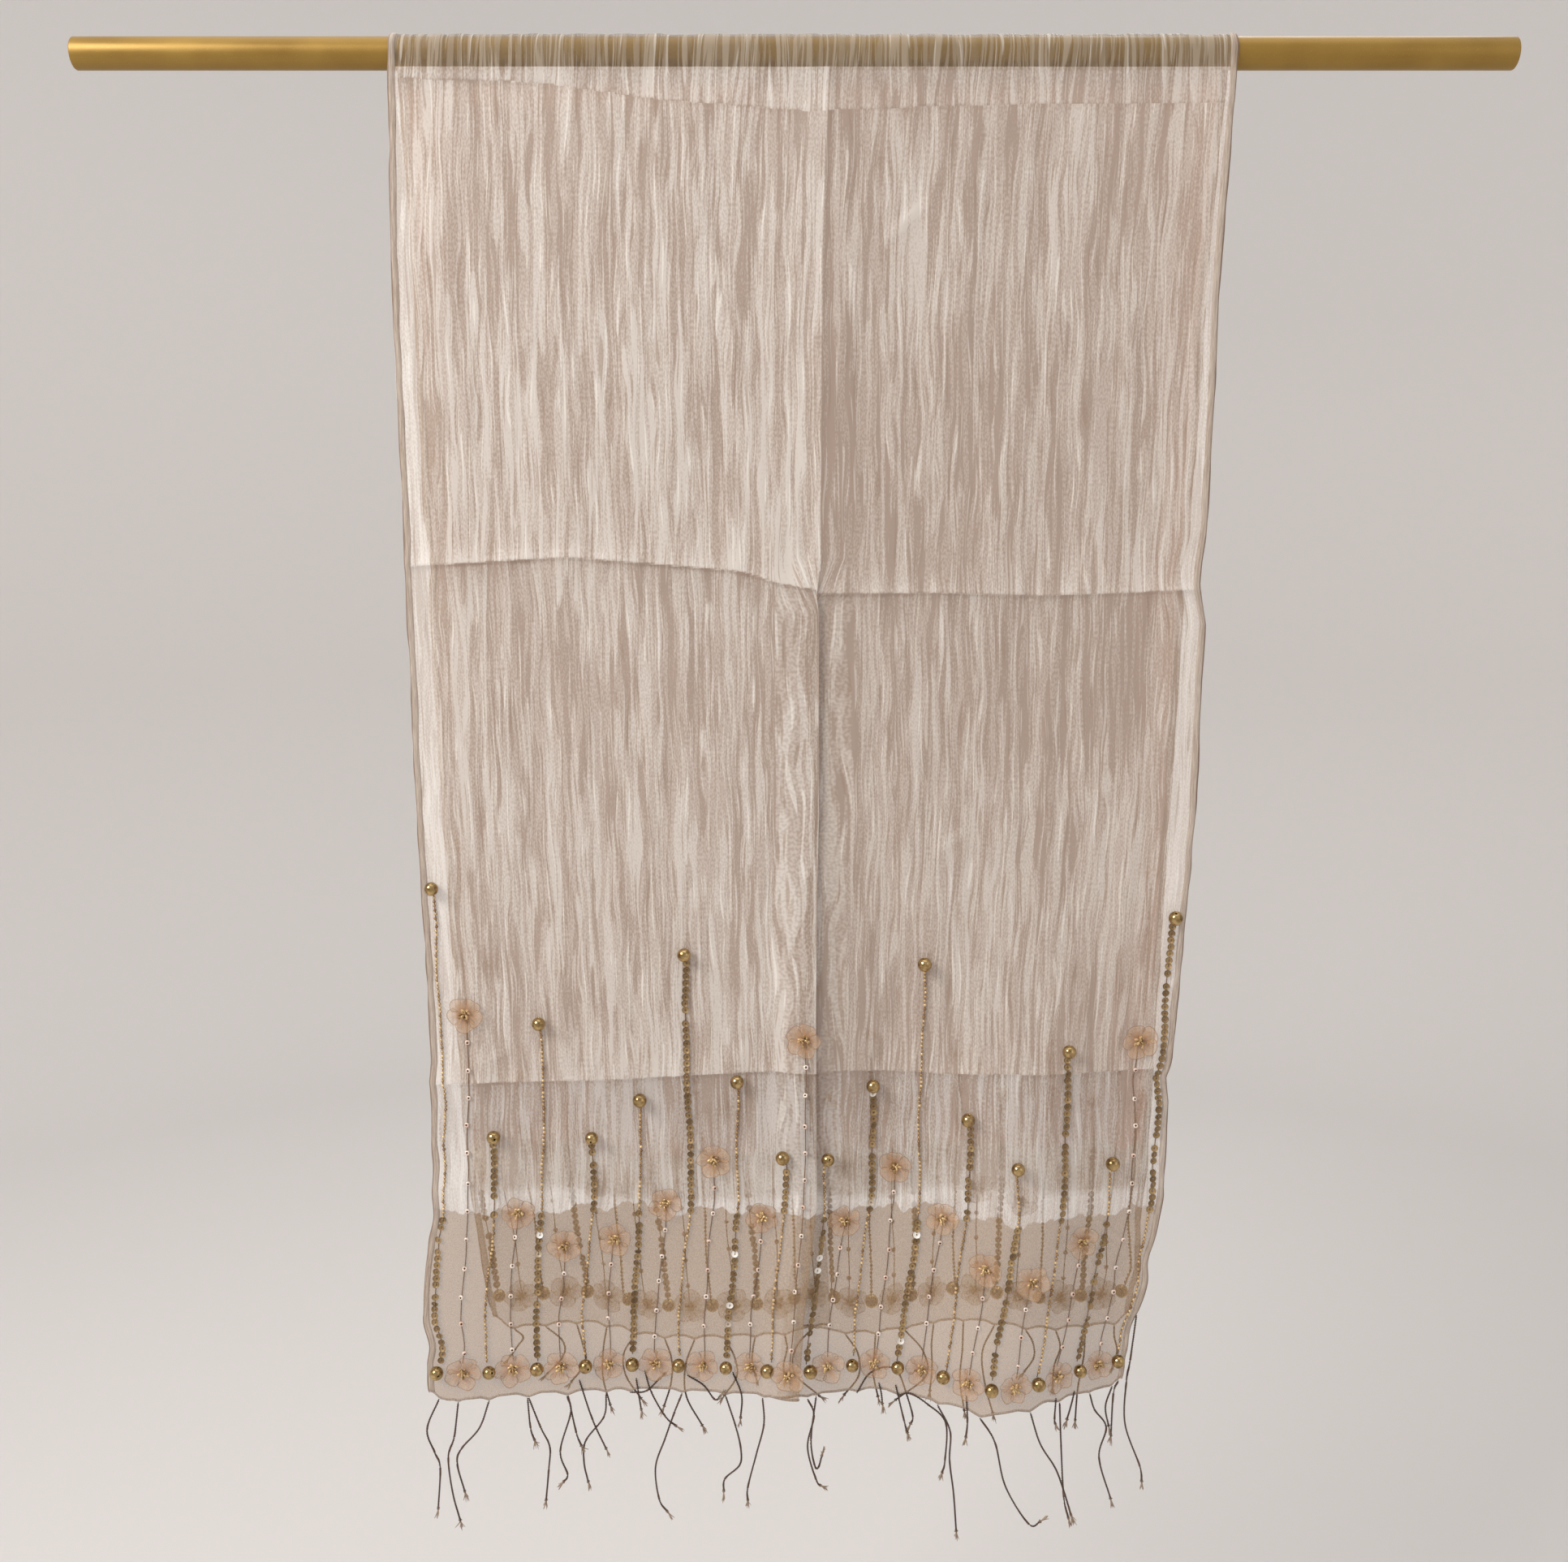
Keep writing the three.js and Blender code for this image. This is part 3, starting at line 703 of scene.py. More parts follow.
# Thin lines of painted highlight and painted shade along the fine crinkles
LINES = Streak(450.0, 15.0, 713.9, 1.0, 0.66, 0.71)
STREAK_BEND = 1.6 * MM
BORDER_RAGGED = 7
ZONE_SHIFT = 41.7
BACK_ZONE, LOW_BAND_ZONE = 8, 3


def organza_patterns(paint, on_rail):
    """The patterns that the organza's colour and cover are made from."""
    across, along = paint.place()
    zone = paint.math("FLOOR", paint.value_of("zone"))
    shift = zone * ZONE_SHIFT
    bend = paint.flat_noise(across * 110.0, along * 18.0 + shift)
    wavy = across + paint.level(bend, 0.2, 0.8, -STREAK_BEND, STREAK_BEND)

    def streaks(row):
        return paint.flat_noise(wavy * row.across + row.offset, along * row.along + shift, row.detail)

    broad, narrow, tone = (paint.level(streaks(row), row.low, row.high) for row in (BROAD, NARROW, TONE))
    lines = streaks(LINES)
    thread = paint.flat_noise(across * 950.0, along * 450.0)
    # fold carries the painted shade of the creases and the pleat and the painted light of the wrinkles
    fold = paint.value_of("fold")
    light = broad * 0.46 + narrow * 0.40 + tone * 0.22 + paint.level(thread, 0.3, 0.7, -0.2, 0.2) - fold
    end_gap = paint.end_gap(along)
    ragged = paint.flat_noise(across * 34.0, along, 3.0)
    border = [(PLAIN_BORDER + side * BORDER_RAGGED) * MM for side in (-1, 1)]
    return SimpleNamespace(
        broad=broad, narrow=narrow, thread=thread, fold=fold, light=light, end_gap=end_gap,
        painted_highlight_line=paint.level(lines, LINES.low, LINES.high),
        painted_shade_line=paint.level(lines, 1 - LINES.low, 1 - LINES.high),
        top_band=paint.level(zone, 0.6, 0.4),
        low_band=paint.math("COMPARE", paint.math("MODULO", zone, BACK_ZONE), LOW_BAND_ZONE, 0.4),
        crinkled=paint.level(end_gap - paint.level(ragged, 0.3, 0.7, *border), -0.6 * MM, 0.6 * MM),
        # Inner side where the falls overlap: it shows the painted shade between them
        painted_shade_inside=paint.underside() * (0.0 if on_rail else paint.value_of("doubled")),
    )


def organza_colour(paint, cloth):
    """Colour of both sides, crinkled and plain; the inner side carries painted shade where the falls hang
    one behind the other.
    """
    colour = paint.mix(cloth.light, CRINKLE_DARK, CRINKLE_LIGHT)
    # Painted highlight and painted shade lines of the fine crinkles
    colour = paint.mix(cloth.painted_highlight_line * 0.6, colour, CRINKLE_PAINTED_HIGHLIGHT)
    colour = paint.mix(cloth.painted_shade_line * 0.65, colour, CRINKLE_SHADE)
    # Painted shade of the pressed folds
    colour = paint.mix(paint.level(cloth.fold, 0.0, 1.0, 0.0, 0.8), colour, CRINKLE_SHADE)
    low_band = cloth.low_band * paint.level(cloth.light, 0.3, 0.8, 0.0, 0.5)
    colour = paint.mix(low_band, colour, LOW_BAND_COLOUR)
    # Painted shade between the falls, on the inner side
    inner = paint.mix(cloth.light, PAINTED_SHADE_INSIDE_DARK, PAINTED_SHADE_INSIDE_LIGHT)
    # Painted shade along the back fall's left edge
    inner = paint.mix(paint.value_of("edge_shade"), inner, EDGE_PAINTED_SHADE_COLOUR)
    plain = paint.mix(paint.level(cloth.thread, 0.3, 0.7, 0.1, 0.4), PLAIN_COLOUR, PLAIN_THREAD)
    # Painted shade between the falls in the plain border
    plain = paint.mix(cloth.painted_shade_inside, plain, PLAIN_PAINTED_SHADE_INSIDE)
    return paint.mix(cloth.crinkled, plain, paint.mix(cloth.painted_shade_inside, colour, inner))


def organza_cover(paint, cloth):
    """Share of the view that the crinkled cloth hides."""
    cover = paint.level(cloth.light, 0.0, 1.0, COVER_DARK, COVER_LIGHT)
    cover = cover * paint.level(cloth.low_band, 0.0, 1.0, 1.0, LOW_BAND_COVER)
    cover = cover + cloth.painted_highlight_line * 0.15 + cloth.painted_shade_line * 0.12
    cover = cover * paint.level(cloth.top_band, 0.0, 1.0, 1.0, TOP_BAND_COVER)
    # The inner side covers more, as a dark painted shade between the falls
    return paint.blend(cloth.painted_shade_inside, cover, COVER_PAINTED_SHADE_INSIDE)


def plain_cover(paint, cloth):
    """Share that the plain border hides: on the inner side, which carries the painted shade between the
    falls, more at its top; little under the pleat.
    """
    spread = (COVER_PLAIN - COVER_PLAIN_SPREAD, COVER_PLAIN + COVER_PLAIN_SPREAD)
    inner = paint.level(cloth.end_gap, 112 * MM, 120 * MM, COVER_PLAIN_PAINTED_SHADE_INSIDE, COVER_BORDER_TOP)
    cover = paint.blend(cloth.painted_shade_inside, paint.level(cloth.thread, 0.3, 0.7, *spread), inner)
    return cover * paint.level(paint.value_of("under"), 0.0, 1.0, 1.0, COVER_UNDER_PLEAT)


def organza(name, clear_shadow=False, on_rail=False):
    """Crinkled sheer silk: long flat-toned streaks with crisp edges, painted highlight and shade lines,
    thread lines, plain ends; painted shade at the folds and between the falls.
    """
    paint = Paint(name)
    cloth = organza_patterns(paint, on_rail)
    if on_rail:
        # Over the rail the streaks are painted in shade, with painted highlight lines
        bands = cloth.broad * 0.35 + cloth.narrow * 0.65
        cover = paint.level(bands, 0.15, 0.85, *ON_RAIL_COVER)
        colour = paint.mix(bands, ON_RAIL_PAINTED_SHADE_DARK, ON_RAIL_PAINTED_SHADE_LIGHT)
        colour = paint.mix(cloth.painted_highlight_line * 0.45, colour, CRINKLE_PAINTED_HIGHLIGHT)
    else:
        cover = organza_cover(paint, cloth)
        colour = organza_colour(paint, cloth)
    paint.material.use_transparent_shadow = clear_shadow
    return paint.set(
        Base_Color=colour, Alpha=paint.blend(cloth.crinkled, plain_cover(paint, cloth), cover),
        Roughness=0.5, Specular_IOR_Level=0.35, Sheen_Weight=0.25, Sheen_Roughness=0.4,
        Normal=paint.bump(cloth.thread, 0.25, 0.1),
    )


def hem_cloth():
    """Rolled edge: the cloth several layers thick, with a fine slanting stitch and a dark outline."""
    brown, beige = (0.50, 0.36, 0.26), (0.74, 0.60, 0.48)
    pale, outline = (0.80, 0.70, 0.60), (0.27, 0.17, 0.11)
    paint = Paint("rolled_hem")
    across, along = paint.place()
    grain = paint.noise(paint.vector(across * 900.0, along * 60.0))
    patch = paint.noise(paint.vector(across * 60.0, along * 14.0))
    colour = paint.mix(paint.level(grain, 0.35, 0.65), brown, beige)
    colour = paint.mix(paint.level(patch, 0.4, 0.7, 0.0, 0.5), colour, pale)
    side_line = paint.level(paint.math("ABSOLUTE", across), (HALF_WIDTH - 1.1) * MM, (HALF_WIDTH - 0.5) * MM)
    end_line = paint.level(paint.end_gap(along), 0.8 * MM, 3.0 * MM, 0.5, 0.0)
    end_line = end_line * paint.level(along, 0.9, 1.1, 1.0, 0.4)
    edge_line = paint.math("MAXIMUM", side_line, end_line)
    colour = paint.mix(edge_line, colour, outline)
    cover = paint.math("MAXIMUM", paint.level(grain, 0.3, 0.7, 0.42, 0.62), edge_line * 0.8)
    paint.material.use_transparent_shadow = False
    return paint.set(Base_Color=colour, Alpha=cover, Roughness=0.6, Sheen_Weight=0.2,
                     Normal=paint.bump(grain, 0.4, 0.3))


def gold_paint():
    """Satin gold paint on the rail: faint mottling and fine dust in the coat."""
    deep, bright, dust = (0.29, 0.165, 0.028), (0.37, 0.225, 0.045), (0.52, 0.36, 0.11)
    paint = Paint("satin_gold_paint")
    cloud = paint.noise(paint.space(), 22.0, 3.0)
    speck = paint.noise(paint.space(), 1400.0)
    colour = paint.mix(paint.level(cloud, 0.3, 0.7), deep, bright)
    colour = paint.mix(paint.level(speck, 0.62, 0.75, 0.0, 0.4), colour, dust)
    return paint.set(Base_Color=colour, Metallic=0.45, Roughness=paint.level(cloud, 0.3, 0.7, 0.34, 0.46),
                     Normal=paint.bump(speck, 0.06, 0.15))


def bead_gold():
    """Polished antique gold with a darker, browner bloom in patches."""
    gold, brown = (0.54, 0.385, 0.18), (0.19, 0.115, 0.045)
    paint = Paint("antique_gold_bead")
    bloom = paint.noise(paint.space(), 260.0, 3.0)
    scratch = paint.noise(paint.space(), 2400.0)
    colour = paint.mix(paint.level(bloom, 0.4, 0.7), gold, brown)
    return paint.set(Base_Color=colour, Metallic=1.0, Roughness=paint.level(bloom, 0.35, 0.7, 0.09, 0.24),
                     Normal=paint.bump(scratch, 0.05, 0.1))


def sequin_gold():
    """Dull gold film, each disc of its own tone, a few painted silver-bright as a painted glint, and backs
    painted lighter as painted light.
    """
    dull, golden, silver = (0.19, 0.112, 0.040), (0.41, 0.27, 0.118), (0.92, 0.88, 0.82)
    rim, hole, back = (0.10, 0.06, 0.025), (0.05, 0.03, 0.015), (0.56, 0.43, 0.26)
    paint = Paint("sequin_film")
    tone = paint.value_of("tone")
    ring = paint.value_of("ring")
    colour = paint.mix(tone, dull, golden)
    colour = paint.mix(paint.level(ring, 0.72, 0.98, 0.0, 0.5), colour, rim)
    colour = paint.mix(paint.level(ring, 0.22, 0.34, 0.7, 0.0), colour, hole)
    # A few discs painted silver-bright: a painted glint
    colour = paint.mix(paint.level(tone, 0.973, 0.979), colour, silver)
    # The backs, seen on the back fall from the front, are painted lighter: painted light on pieces lying in
    # shade
    colour = paint.mix(paint.underside() * 0.75, colour, back)
    return paint.set(Base_Color=colour, Metallic=0.15, Roughness=0.42, Specular_IOR_Level=0.5)


def seed_gold():
    """Tiny glass beads lined with gold."""
    brown, golden = (0.27, 0.145, 0.052), (0.84, 0.61, 0.32)
    paint = Paint("gold_seed_bead")
    colour = paint.mix(paint.value_of("tone"), brown, golden)
    return paint.set(Base_Color=colour, Metallic=0.35, Roughness=0.25)


def pale_glass():
    """Pale pink silver-lined beads."""
    pink, pale, hole = (0.78, 0.55, 0.43), (0.95, 0.84, 0.75), (0.20, 0.08, 0.04)
    paint = Paint("pale_square_bead")
    colour = paint.mix(paint.value_of("tone"), pink, pale)
    colour = paint.mix(paint.level(paint.value_of("ring"), 0.38, 0.5), hole, colour)
    return paint.set(Base_Color=colour, Metallic=0.1, Roughness=0.2, Coat_Weight=0.4)


def stem_thread():
    """Brown sewing thread, twisted."""
    dark, light = (0.13, 0.065, 0.030), (0.30, 0.17, 0.085)
    paint = Paint("brown_stem_thread")
    grain = paint.noise(paint.space(), 1500.0)
    colour = paint.mix(paint.level(grain, 0.35, 0.65), dark, light)
    return paint.set(Base_Color=colour, Roughness=0.6, Sheen_Weight=0.3)


def petal_organza():
    """Peach organza petals: a browned gathered heart, radial stitches, a fine dark outline, and backs
    painted lighter as painted light.
    """
    peach, pale_peach, back = (0.58, 0.34, 0.175), (0.74, 0.485, 0.285), (0.80, 0.62, 0.42)
    browned, stitch, outline = (0.50, 0.235, 0.090), (0.28, 0.10, 0.035), (0.24, 0.125, 0.065)
    paint = Paint("peach_petal")
    reach, around, tone = (paint.value_of(key) for key in ("reach", "around", "tone"))
    rays = paint.noise(paint.vector(around * 9.0, reach * 1.2, tone * 40.0), distortion=0.3)
    heart = paint.level(reach + paint.level(rays, 0.3, 0.7, -0.3, 0.3), 0.10, 0.80, 1.0, 0.0)
    ray_line = paint.level(rays, 0.60, 0.66) * paint.level(reach, 0.5, 0.95, 0.8, 0.0)
    side = paint.math("MODULO", around + PETAL_STEP / 2, PETAL_STEP) - PETAL_STEP / 2
    side_rim = paint.level(paint.math("ABSOLUTE", side), 0.91, 0.95) * paint.level(reach, 0.5, 0.75)
    rim = paint.math("MAXIMUM", paint.level(reach, 0.945, 0.968), side_rim)
    colour = paint.mix(heart, paint.mix(tone, peach, pale_peach), browned)
    colour = paint.mix(ray_line, colour, stitch)
    colour = paint.mix(rim * 0.8, colour, outline)
    # The backs, seen on the back fall from the front, are painted lighter: painted light on petals lying in
    # shade
    colour = paint.mix(paint.underside() * 0.6, colour, back)
    cover = paint.level(heart, 0.0, 1.0, 0.34, 0.85) + rim * 0.40
    return paint.set(Base_Color=colour, Alpha=cover, Roughness=0.5, Sheen_Weight=0.3)


def hem_thread():
    """Dark brown two-ply thread that ends in a paler, untwisted tuft."""
    paint = Paint("dark_hem_thread")
    grain = paint.level(paint.noise(paint.space(), 1800.0), 0.35, 0.65)
    dark = paint.mix(grain, (0.045, 0.021, 0.011), (0.15, 0.078, 0.042))
    pale = paint.mix(grain, (0.27, 0.18, 0.12), (0.48, 0.36, 0.26))
    colour = paint.mix(paint.level(paint.value_of("tip"), 0.35, 0.9), dark, pale)
    return paint.set(Base_Color=colour, Roughness=0.7, Sheen_Weight=0.2)


# Rail

def make_rail():
    """Round tube with softened, closed ends."""
    flat = RAIL_RADIUS - RAIL_SOFT_EDGE
    half = [(radius, RAIL_HALF) for radius in (RAIL_END_MIDDLE, flat - 2 * RAIL_SOFT_EDGE, flat)]
    half += [(flat + RAIL_SOFT_EDGE * math.sin(angle), RAIL_HALF - RAIL_SOFT_EDGE * (1 - math.cos(angle)))
             for angle in np.linspace(0, math.pi / 2, 6)[1:]]
    half += [(RAIL_RADIUS, RAIL_HALF * share) for share in (0.75, 0.5, 0.25, 0)]
    profile = half + [(radius, -length) for radius, length in reversed(half[:-1])]
    points, faces = lathe(profile, ROUND_SEGMENTS, closed=False)
    points = points[:, [2, 0, 1]]
    return make_piece("rail_tube", points, faces, gold_paint(), ["rail"])


# Cloth and hems

def spaced(stops):
    """Values from stop to stop. Each stop after the first has its own step."""
    values = [stops[0][0]]
    for (start, _), (end, step) in zip(stops, stops[1:]):
        count = max(1, int(round((end - start) / step)))
        values += list(start + (end - start) * np.arange(1, count + 1) / count)
    return np.array(values)


def strip_rows(front_drops, back_drops):
    """Places along the cloth from hem to hem, with even steps over the rail."""
    over = FRONT.length + np.linspace(0, TURN, TURN_STEPS + 1)[1:-1]
    return np.concatenate([along_of(FRONT, front_drops[::-1]), over, along_of(BACK, back_drops)])


# Drops of the cloth's rows and places of its columns, closer at the folds: end of a stretch, step in it
FRONT_DROPS = spaced([(0, 0), (12, 4), (48, 1.9), (344, 3.7), (386, 1.3), (730, 3.7), (761, 1.4),
                      (FRONT.length, 3.6)])
BACK_DROPS = spaced([(0, 0), (20, 5), (44, 3), (352, 5.5), (380, 2), (734, 5.5), (760, 2),
                     (BACK.length, 5.5)])
COLUMNS = spaced([(-HALF_WIDTH, 0), (-34, 3.9), (46, 1.6), (HALF_WIDTH, 3.9)])
HEM_COLUMNS = spaced([(-HALF_WIDTH, 0), (-34, 2.4), (46, 1.6), (HALF_WIDTH, 2.4)])
HEM_ROWS = strip_rows(spaced([(0, 0), (FRONT.length, 3.4)]), spaced([(0, 0), (BACK.length, 4.5)]))

# Painted shade of a pressed fold: a dark line, a shade past it (steady and fading) and a painted pale rise
# before it
Shade = namedtuple("Shade", "line width steady fading fade_length rise rise_length")
CREASE_SHADE = Shade(0.36, 1.2, 0, 0.19, 15, 0.32, 8)
PLEAT_SHADE = Shade(0.30, 1.1, 0.10, 0.14, 40, 0.25, 7)
# Where the painted dark line lies past a fold, the share of painted crease shade kept on the right half, the
# ridge that gets full painted shade, and painted light on wrinkle ridges as a share of their height
SHADE_LINE_AT = 0.9
RIGHT_HALF_SHADE = 0.45
FULL_RIDGE = 3
WRINKLE_LIGHT = 0.3


def zones(at, along):
    """Counts the pressed folds passed, so that the streaks change at each."""
    total = np.zeros_like(at)
    for panel, start in ((FRONT, 0), (BACK, BACK_ZONE)):
        drop = drop_of(panel, along)
        lines = [read(crease.line, at) for crease in panel.creases] + [np.full_like(at, panel.length + 1)]
        count = np.full_like(at, start)
        before = np.zeros_like(at)
        for line in lines:
            count += np.clip((drop - before) / (line - before), 0, 1)
            before = line
        total = np.where(drop > 0, count, total)
    return total


def shade_past(past, row):
    """Painted shade by the distance past a pressed fold, with painted light before it."""
    line = row.line * np.exp(-((past - SHADE_LINE_AT) / row.width) ** 2)
    shade = row.steady + row.fading * np.exp(-np.maximum(past, 0) / row.fade_length)
    rise = row.rise * np.exp(np.minimum(past, 0) / row.rise_length)
    return line + np.where(past > 0, shade, -rise)


def fold_shade(at, along):
    """Painted shade over the creases and the middle pleat, less the painted light on the ridges of the
    wrinkles.
    """
    total = np.zeros_like(at)
    for panel in (FRONT, BACK):
        drop = drop_of(panel, along)
        # The painted crease shade is uneven along the creases and weaker on the right half
        uneven = 1 + 0.7 * patches(panel.seed + 9, at / 15, drop * 0)
        uneven *= np.where(at > 0, RIGHT_HALF_SHADE, 1)
        shade = shade_past(at - read(panel.pleat, drop), PLEAT_SHADE)
        shade -= WRINKLE_LIGHT * wrinkle_height(panel, at, drop)
        for crease in panel.creases:
            strength = np.clip(crease.ridge / FULL_RIDGE, 0.3, 1) * uneven
            shade += strength * shade_past(drop - read(crease.line, at), CREASE_SHADE)
        total += np.where(drop > 0, shade, 0)
    return total


def pleat_of(at, along):
    """Whether a place is on the front, its drop, its turn in the middle pleat and the pleat's reach."""
    on_front = along < FRONT.length + TURN / 2
    drop = np.where(on_front, drop_of(FRONT, along), drop_of(BACK, along))
    middle, reach = (np.where(on_front, read(FRONT.pleat, drop, column), read(BACK.pleat, drop, column))
                     for column in (1, 2))
    return on_front, drop, (at - middle) / PLEAT_HALF, reach


def doubled(at, along, x):
    """Mask of the painted shade between the falls: 1 where both falls hang one behind the other, less in the
    layer that runs back in a middle pleat.
    """
    on_front, drop, turn, _ = pleat_of(at, along)
    covered = smooth((x - read(BACK.edges, drop)) / 4) * smooth((read(BACK.edges, drop, 2) - x) / 4)
    covered = covered * smooth((BACK.length - PLAIN_BORDER - drop) / 6)
    pleat = PLEAT_PAINTED_SHADE_SHARE + (1 - PLEAT_PAINTED_SHADE_SHARE) * smooth((np.abs(turn) - PLEAT_TOP_TURN) / 0.1)
    return np.where(on_front, covered, 1) * pleat


def under_pleat(at, along):
    """1 in the two layers of the middle pleat that lie under its top layer."""
    _, _, turn, reach = pleat_of(at, along)
    laid_over = np.clip(reach / PLEAT_FULL_REACH, 0, 1)
    return smooth((turn + PLEAT_TOP_TURN) / 0.06) * smooth((PLEAT_END_TURN - turn) / 0.08) * laid_over


def edge_shade(along, x):
    """Painted shade on the inner side of the back fall along its left edge."""
    drop = drop_of(BACK, along)
    inward = np.maximum(x - read(BACK.edges, drop), 0)
    return np.where(drop > 0, EDGE_PAINTED_SHADE * np.exp(-((inward / EDGE_PAINTED_SHADE_WIDTH) ** 2)), 0)


def make_cloth():
    """The whole length of organza, one sheet from the front hem to the back hem."""
    rows = strip_rows(FRONT_DROPS, BACK_DROPS)
    along, at = (part.ravel() for part in np.meshgrid(rows, COLUMNS, indexing="ij"))
    points = strip_point(at, along)
    faces = grid_faces(len(rows), len(COLUMNS))
    # Attributes: streak zones; painted shade and light of the folds; mask of painted shade between the
    # falls; painted shade along the back fall's left edge; layers under the pleat
    values = {
        "zone": zones(at, along), "fold": fold_shade(at, along), "doubled": doubled(at, along, points[:, 0]),
        "edge_shade": edge_shade(along, points[:, 0]), "under": under_pleat(at, along),
    }
    cloth = make_piece("organza_sheet", points, faces, organza("crinkled_organza"),
                       ["front_fall", "over_rail", "back_fall"], uv=np.stack([at, along], -1), values=values)
    cloth.data.materials.append(organza("organza_on_rail", clear_shadow=True, on_rail=True))
    cloth.data.materials.append(organza("organza_border", clear_shadow=True))
    face_along = along[faces].mean(1)
    on_rail = (face_along > FRONT.length - RAIL_RADIUS) & (face_along < FRONT.length + TURN)
    on_border = np.minimum(face_along, STRIP - face_along) < PLAIN_BORDER - BORDER_RAGGED - 1
    cloth.data.polygons.foreach_set("material_index", (on_rail + 2 * on_border).astype(np.int32))
    return cloth


def make_hem(name, at, along, on_side, material):
    """Flattened roll along an edge of the cloth, a long side or an end."""
    width, thickness = SIDE_HEM if on_side else END_HEM
    wobble = 1 + 0.16 * patches(77, along / 17 + at / 13, at * 0)
    origins, axes = seat(at, along, pleated=True)
    flat = (width / 2 * wobble)[:, None] * np.cos(circle(HEM_SIDES))
    thick = thickness / 2 * np.sin(circle(HEM_SIDES))
    sideways = axes[:, 0 if on_side else 1] * up_sign(along)
    points = origins[:, None] + sideways[:, None] * flat[..., None] + axes[:, None, 2] * thick[:, None]
    uv = np.stack([at[:, None] + flat * on_side, along[:, None] + flat * (not on_side)], -1)
    faces = grid_faces(len(at), HEM_SIDES, wrap=True)
    if on_side:
        faces = faces[:, ::-1]
    return make_piece("rolled_" + name, points.reshape(-1, 3), faces, material, [name],
                      uv=uv.reshape(-1, 2))


def make_hems(material):
    """Rolled hems on the long edges and at both ends."""
    pieces = []
    for name, side in (("hem_left", -1), ("hem_right", 1)):
        at = np.full_like(HEM_ROWS, side * (HALF_WIDTH - SIDE_HEM.width / 2))
        pieces.append(make_hem(name, at, HEM_ROWS, True, material))
    for name, place in (("hem_front", END_HEM.width / 2), ("hem_back", STRIP - END_HEM.width / 2)):
        pieces.append(make_hem(name, HEM_COLUMNS, np.full_like(HEM_COLUMNS, place), False, material))
    return pieces


# Beadwork

def stem_rows(panel):
    """Each stem's number, place across, top drop and bottom drop."""
    scale = panel.length / STEM_TABLE_LENGTH
    for number in range(1, STEM_COUNT + 1):
        at = (number - (STEM_COUNT + 1) / 2) * STEM_PITCH
        top = STEM_TOPS[min(number, STEM_COUNT + 1 - number) - 1]
        yield number, at, (top + at * STEM_TILT) * scale, panel.length - ROW_ABOVE_HEM


def wander(number, drop):
    """Small sideways drift of a stem."""
    return 1.1 * np.sin(drop / 31 + number * 1.7) + 0.5 * np.sin(drop / 11 + number)


def runs(panel, rng):
    """Places (at, drop) of every small thing on the stems of one end, and the stems' threads."""
    found = SimpleNamespace(beads=[], sequins=[], seeds=[], squares=[], flowers=[], threads=[])
    turn = panel.length - CHAIN_TURNS_AT
    for number, at, top, bottom in stem_rows(panel):
        if number % 2 == 0:
            found.flowers += [(at, top), (at, bottom)]
            found.threads.append((number, at, top + FLOWER_THREAD_GAP, bottom - FLOWER_THREAD_GAP))
            drop = top + rng.uniform(*FIRST_SQUARE)
            while drop < bottom - LAST_SQUARE_GAP:
                found.squares.append((at + wander(number, drop), drop))
                drop += rng.uniform(*SQUARE_GAP)
            continue
        found.beads += [(at, top), (at, bottom)]
        found.threads.append((number, at, top + BEAD_THREAD_GAP, bottom - BEAD_THREAD_GAP))
        sequins_first = number % 4 == 3
        drop = top + CHAIN_TOP_GAP
        while drop < bottom - CHAIN_LOW_GAP:
            if (drop < turn) == sequins_first:
                if rng.random() > SEQUINS_MISSING:
                    found.sequins.append((at + wander(number, drop), drop))
                drop += rng.uniform(*SEQUIN_GAP)
            else:
                aside = rng.uniform(-SEED_WANDER, SEED_WANDER)
                found.seeds.append((at + wander(number, drop) + aside, drop))
                drop += rng.uniform(*SEED_GAP)
    return found


def seats_of(panel, places, lift):
    at, drop = np.array(places, float).T
    return seat(at, along_of(panel, drop), np.broadcast_to(lift, at.shape))


def bead_template(radius, hole, rings, segments):
    """Pierced ball about the third axis, with the wall of its hole."""
    start = math.asin(hole / radius)
    angles = np.linspace(start, math.pi - start, rings)
    outer = [(radius * math.sin(a), radius * math.cos(a)) for a in angles]
    end = outer[0][1]
    inner = [(hole * 0.8, -end * 0.93), (hole * 0.8, end * 0.93)]
    return lathe(outer + inner, segments, closed=True)


def ring_values(template, count):
    """Share of the way out from the axis, for each point of each copy."""
    radius = np.linalg.norm(template[0][:, :2], axis=1)
    return np.tile(radius / radius.max(), count)


def squared(template):
    """A turned template pulled towards a rounded square."""
    points, faces = template
    angle = np.arctan2(points[:, 1], points[:, 0])
    corner = (np.abs(np.cos(angle)) ** 4 + np.abs(np.sin(angle)) ** 4) ** -0.25
    points = points.copy()
    points[:, :2] *= (1 + 0.75 * (corner - 1))[:, None]
    return points, faces


def make_small(panel, name, template, places, lift, tilt, material, rng):
    """One joined mesh of small things, each a little tilted and with its own tone."""
    origins, axes = seats_of(panel, places, lift)
    count = len(origins)
    axes = turned(axes, 2, rng.uniform(-0.25, 0.25, count))
    axes = turned(axes, 0, rng.normal(0, tilt, count))
    axes = turned(axes, 1, rng.normal(0, tilt, count))
    points, faces = copies(template, origins, axes, rng.uniform(0.95, 1.05, count))
    tone = np.repeat(rng.random(count), len(template[0]))
    return make_piece(f"{panel.name}_{name}", points, faces, material,
                      values={"tone": tone, "ring": ring_values(template, count)})


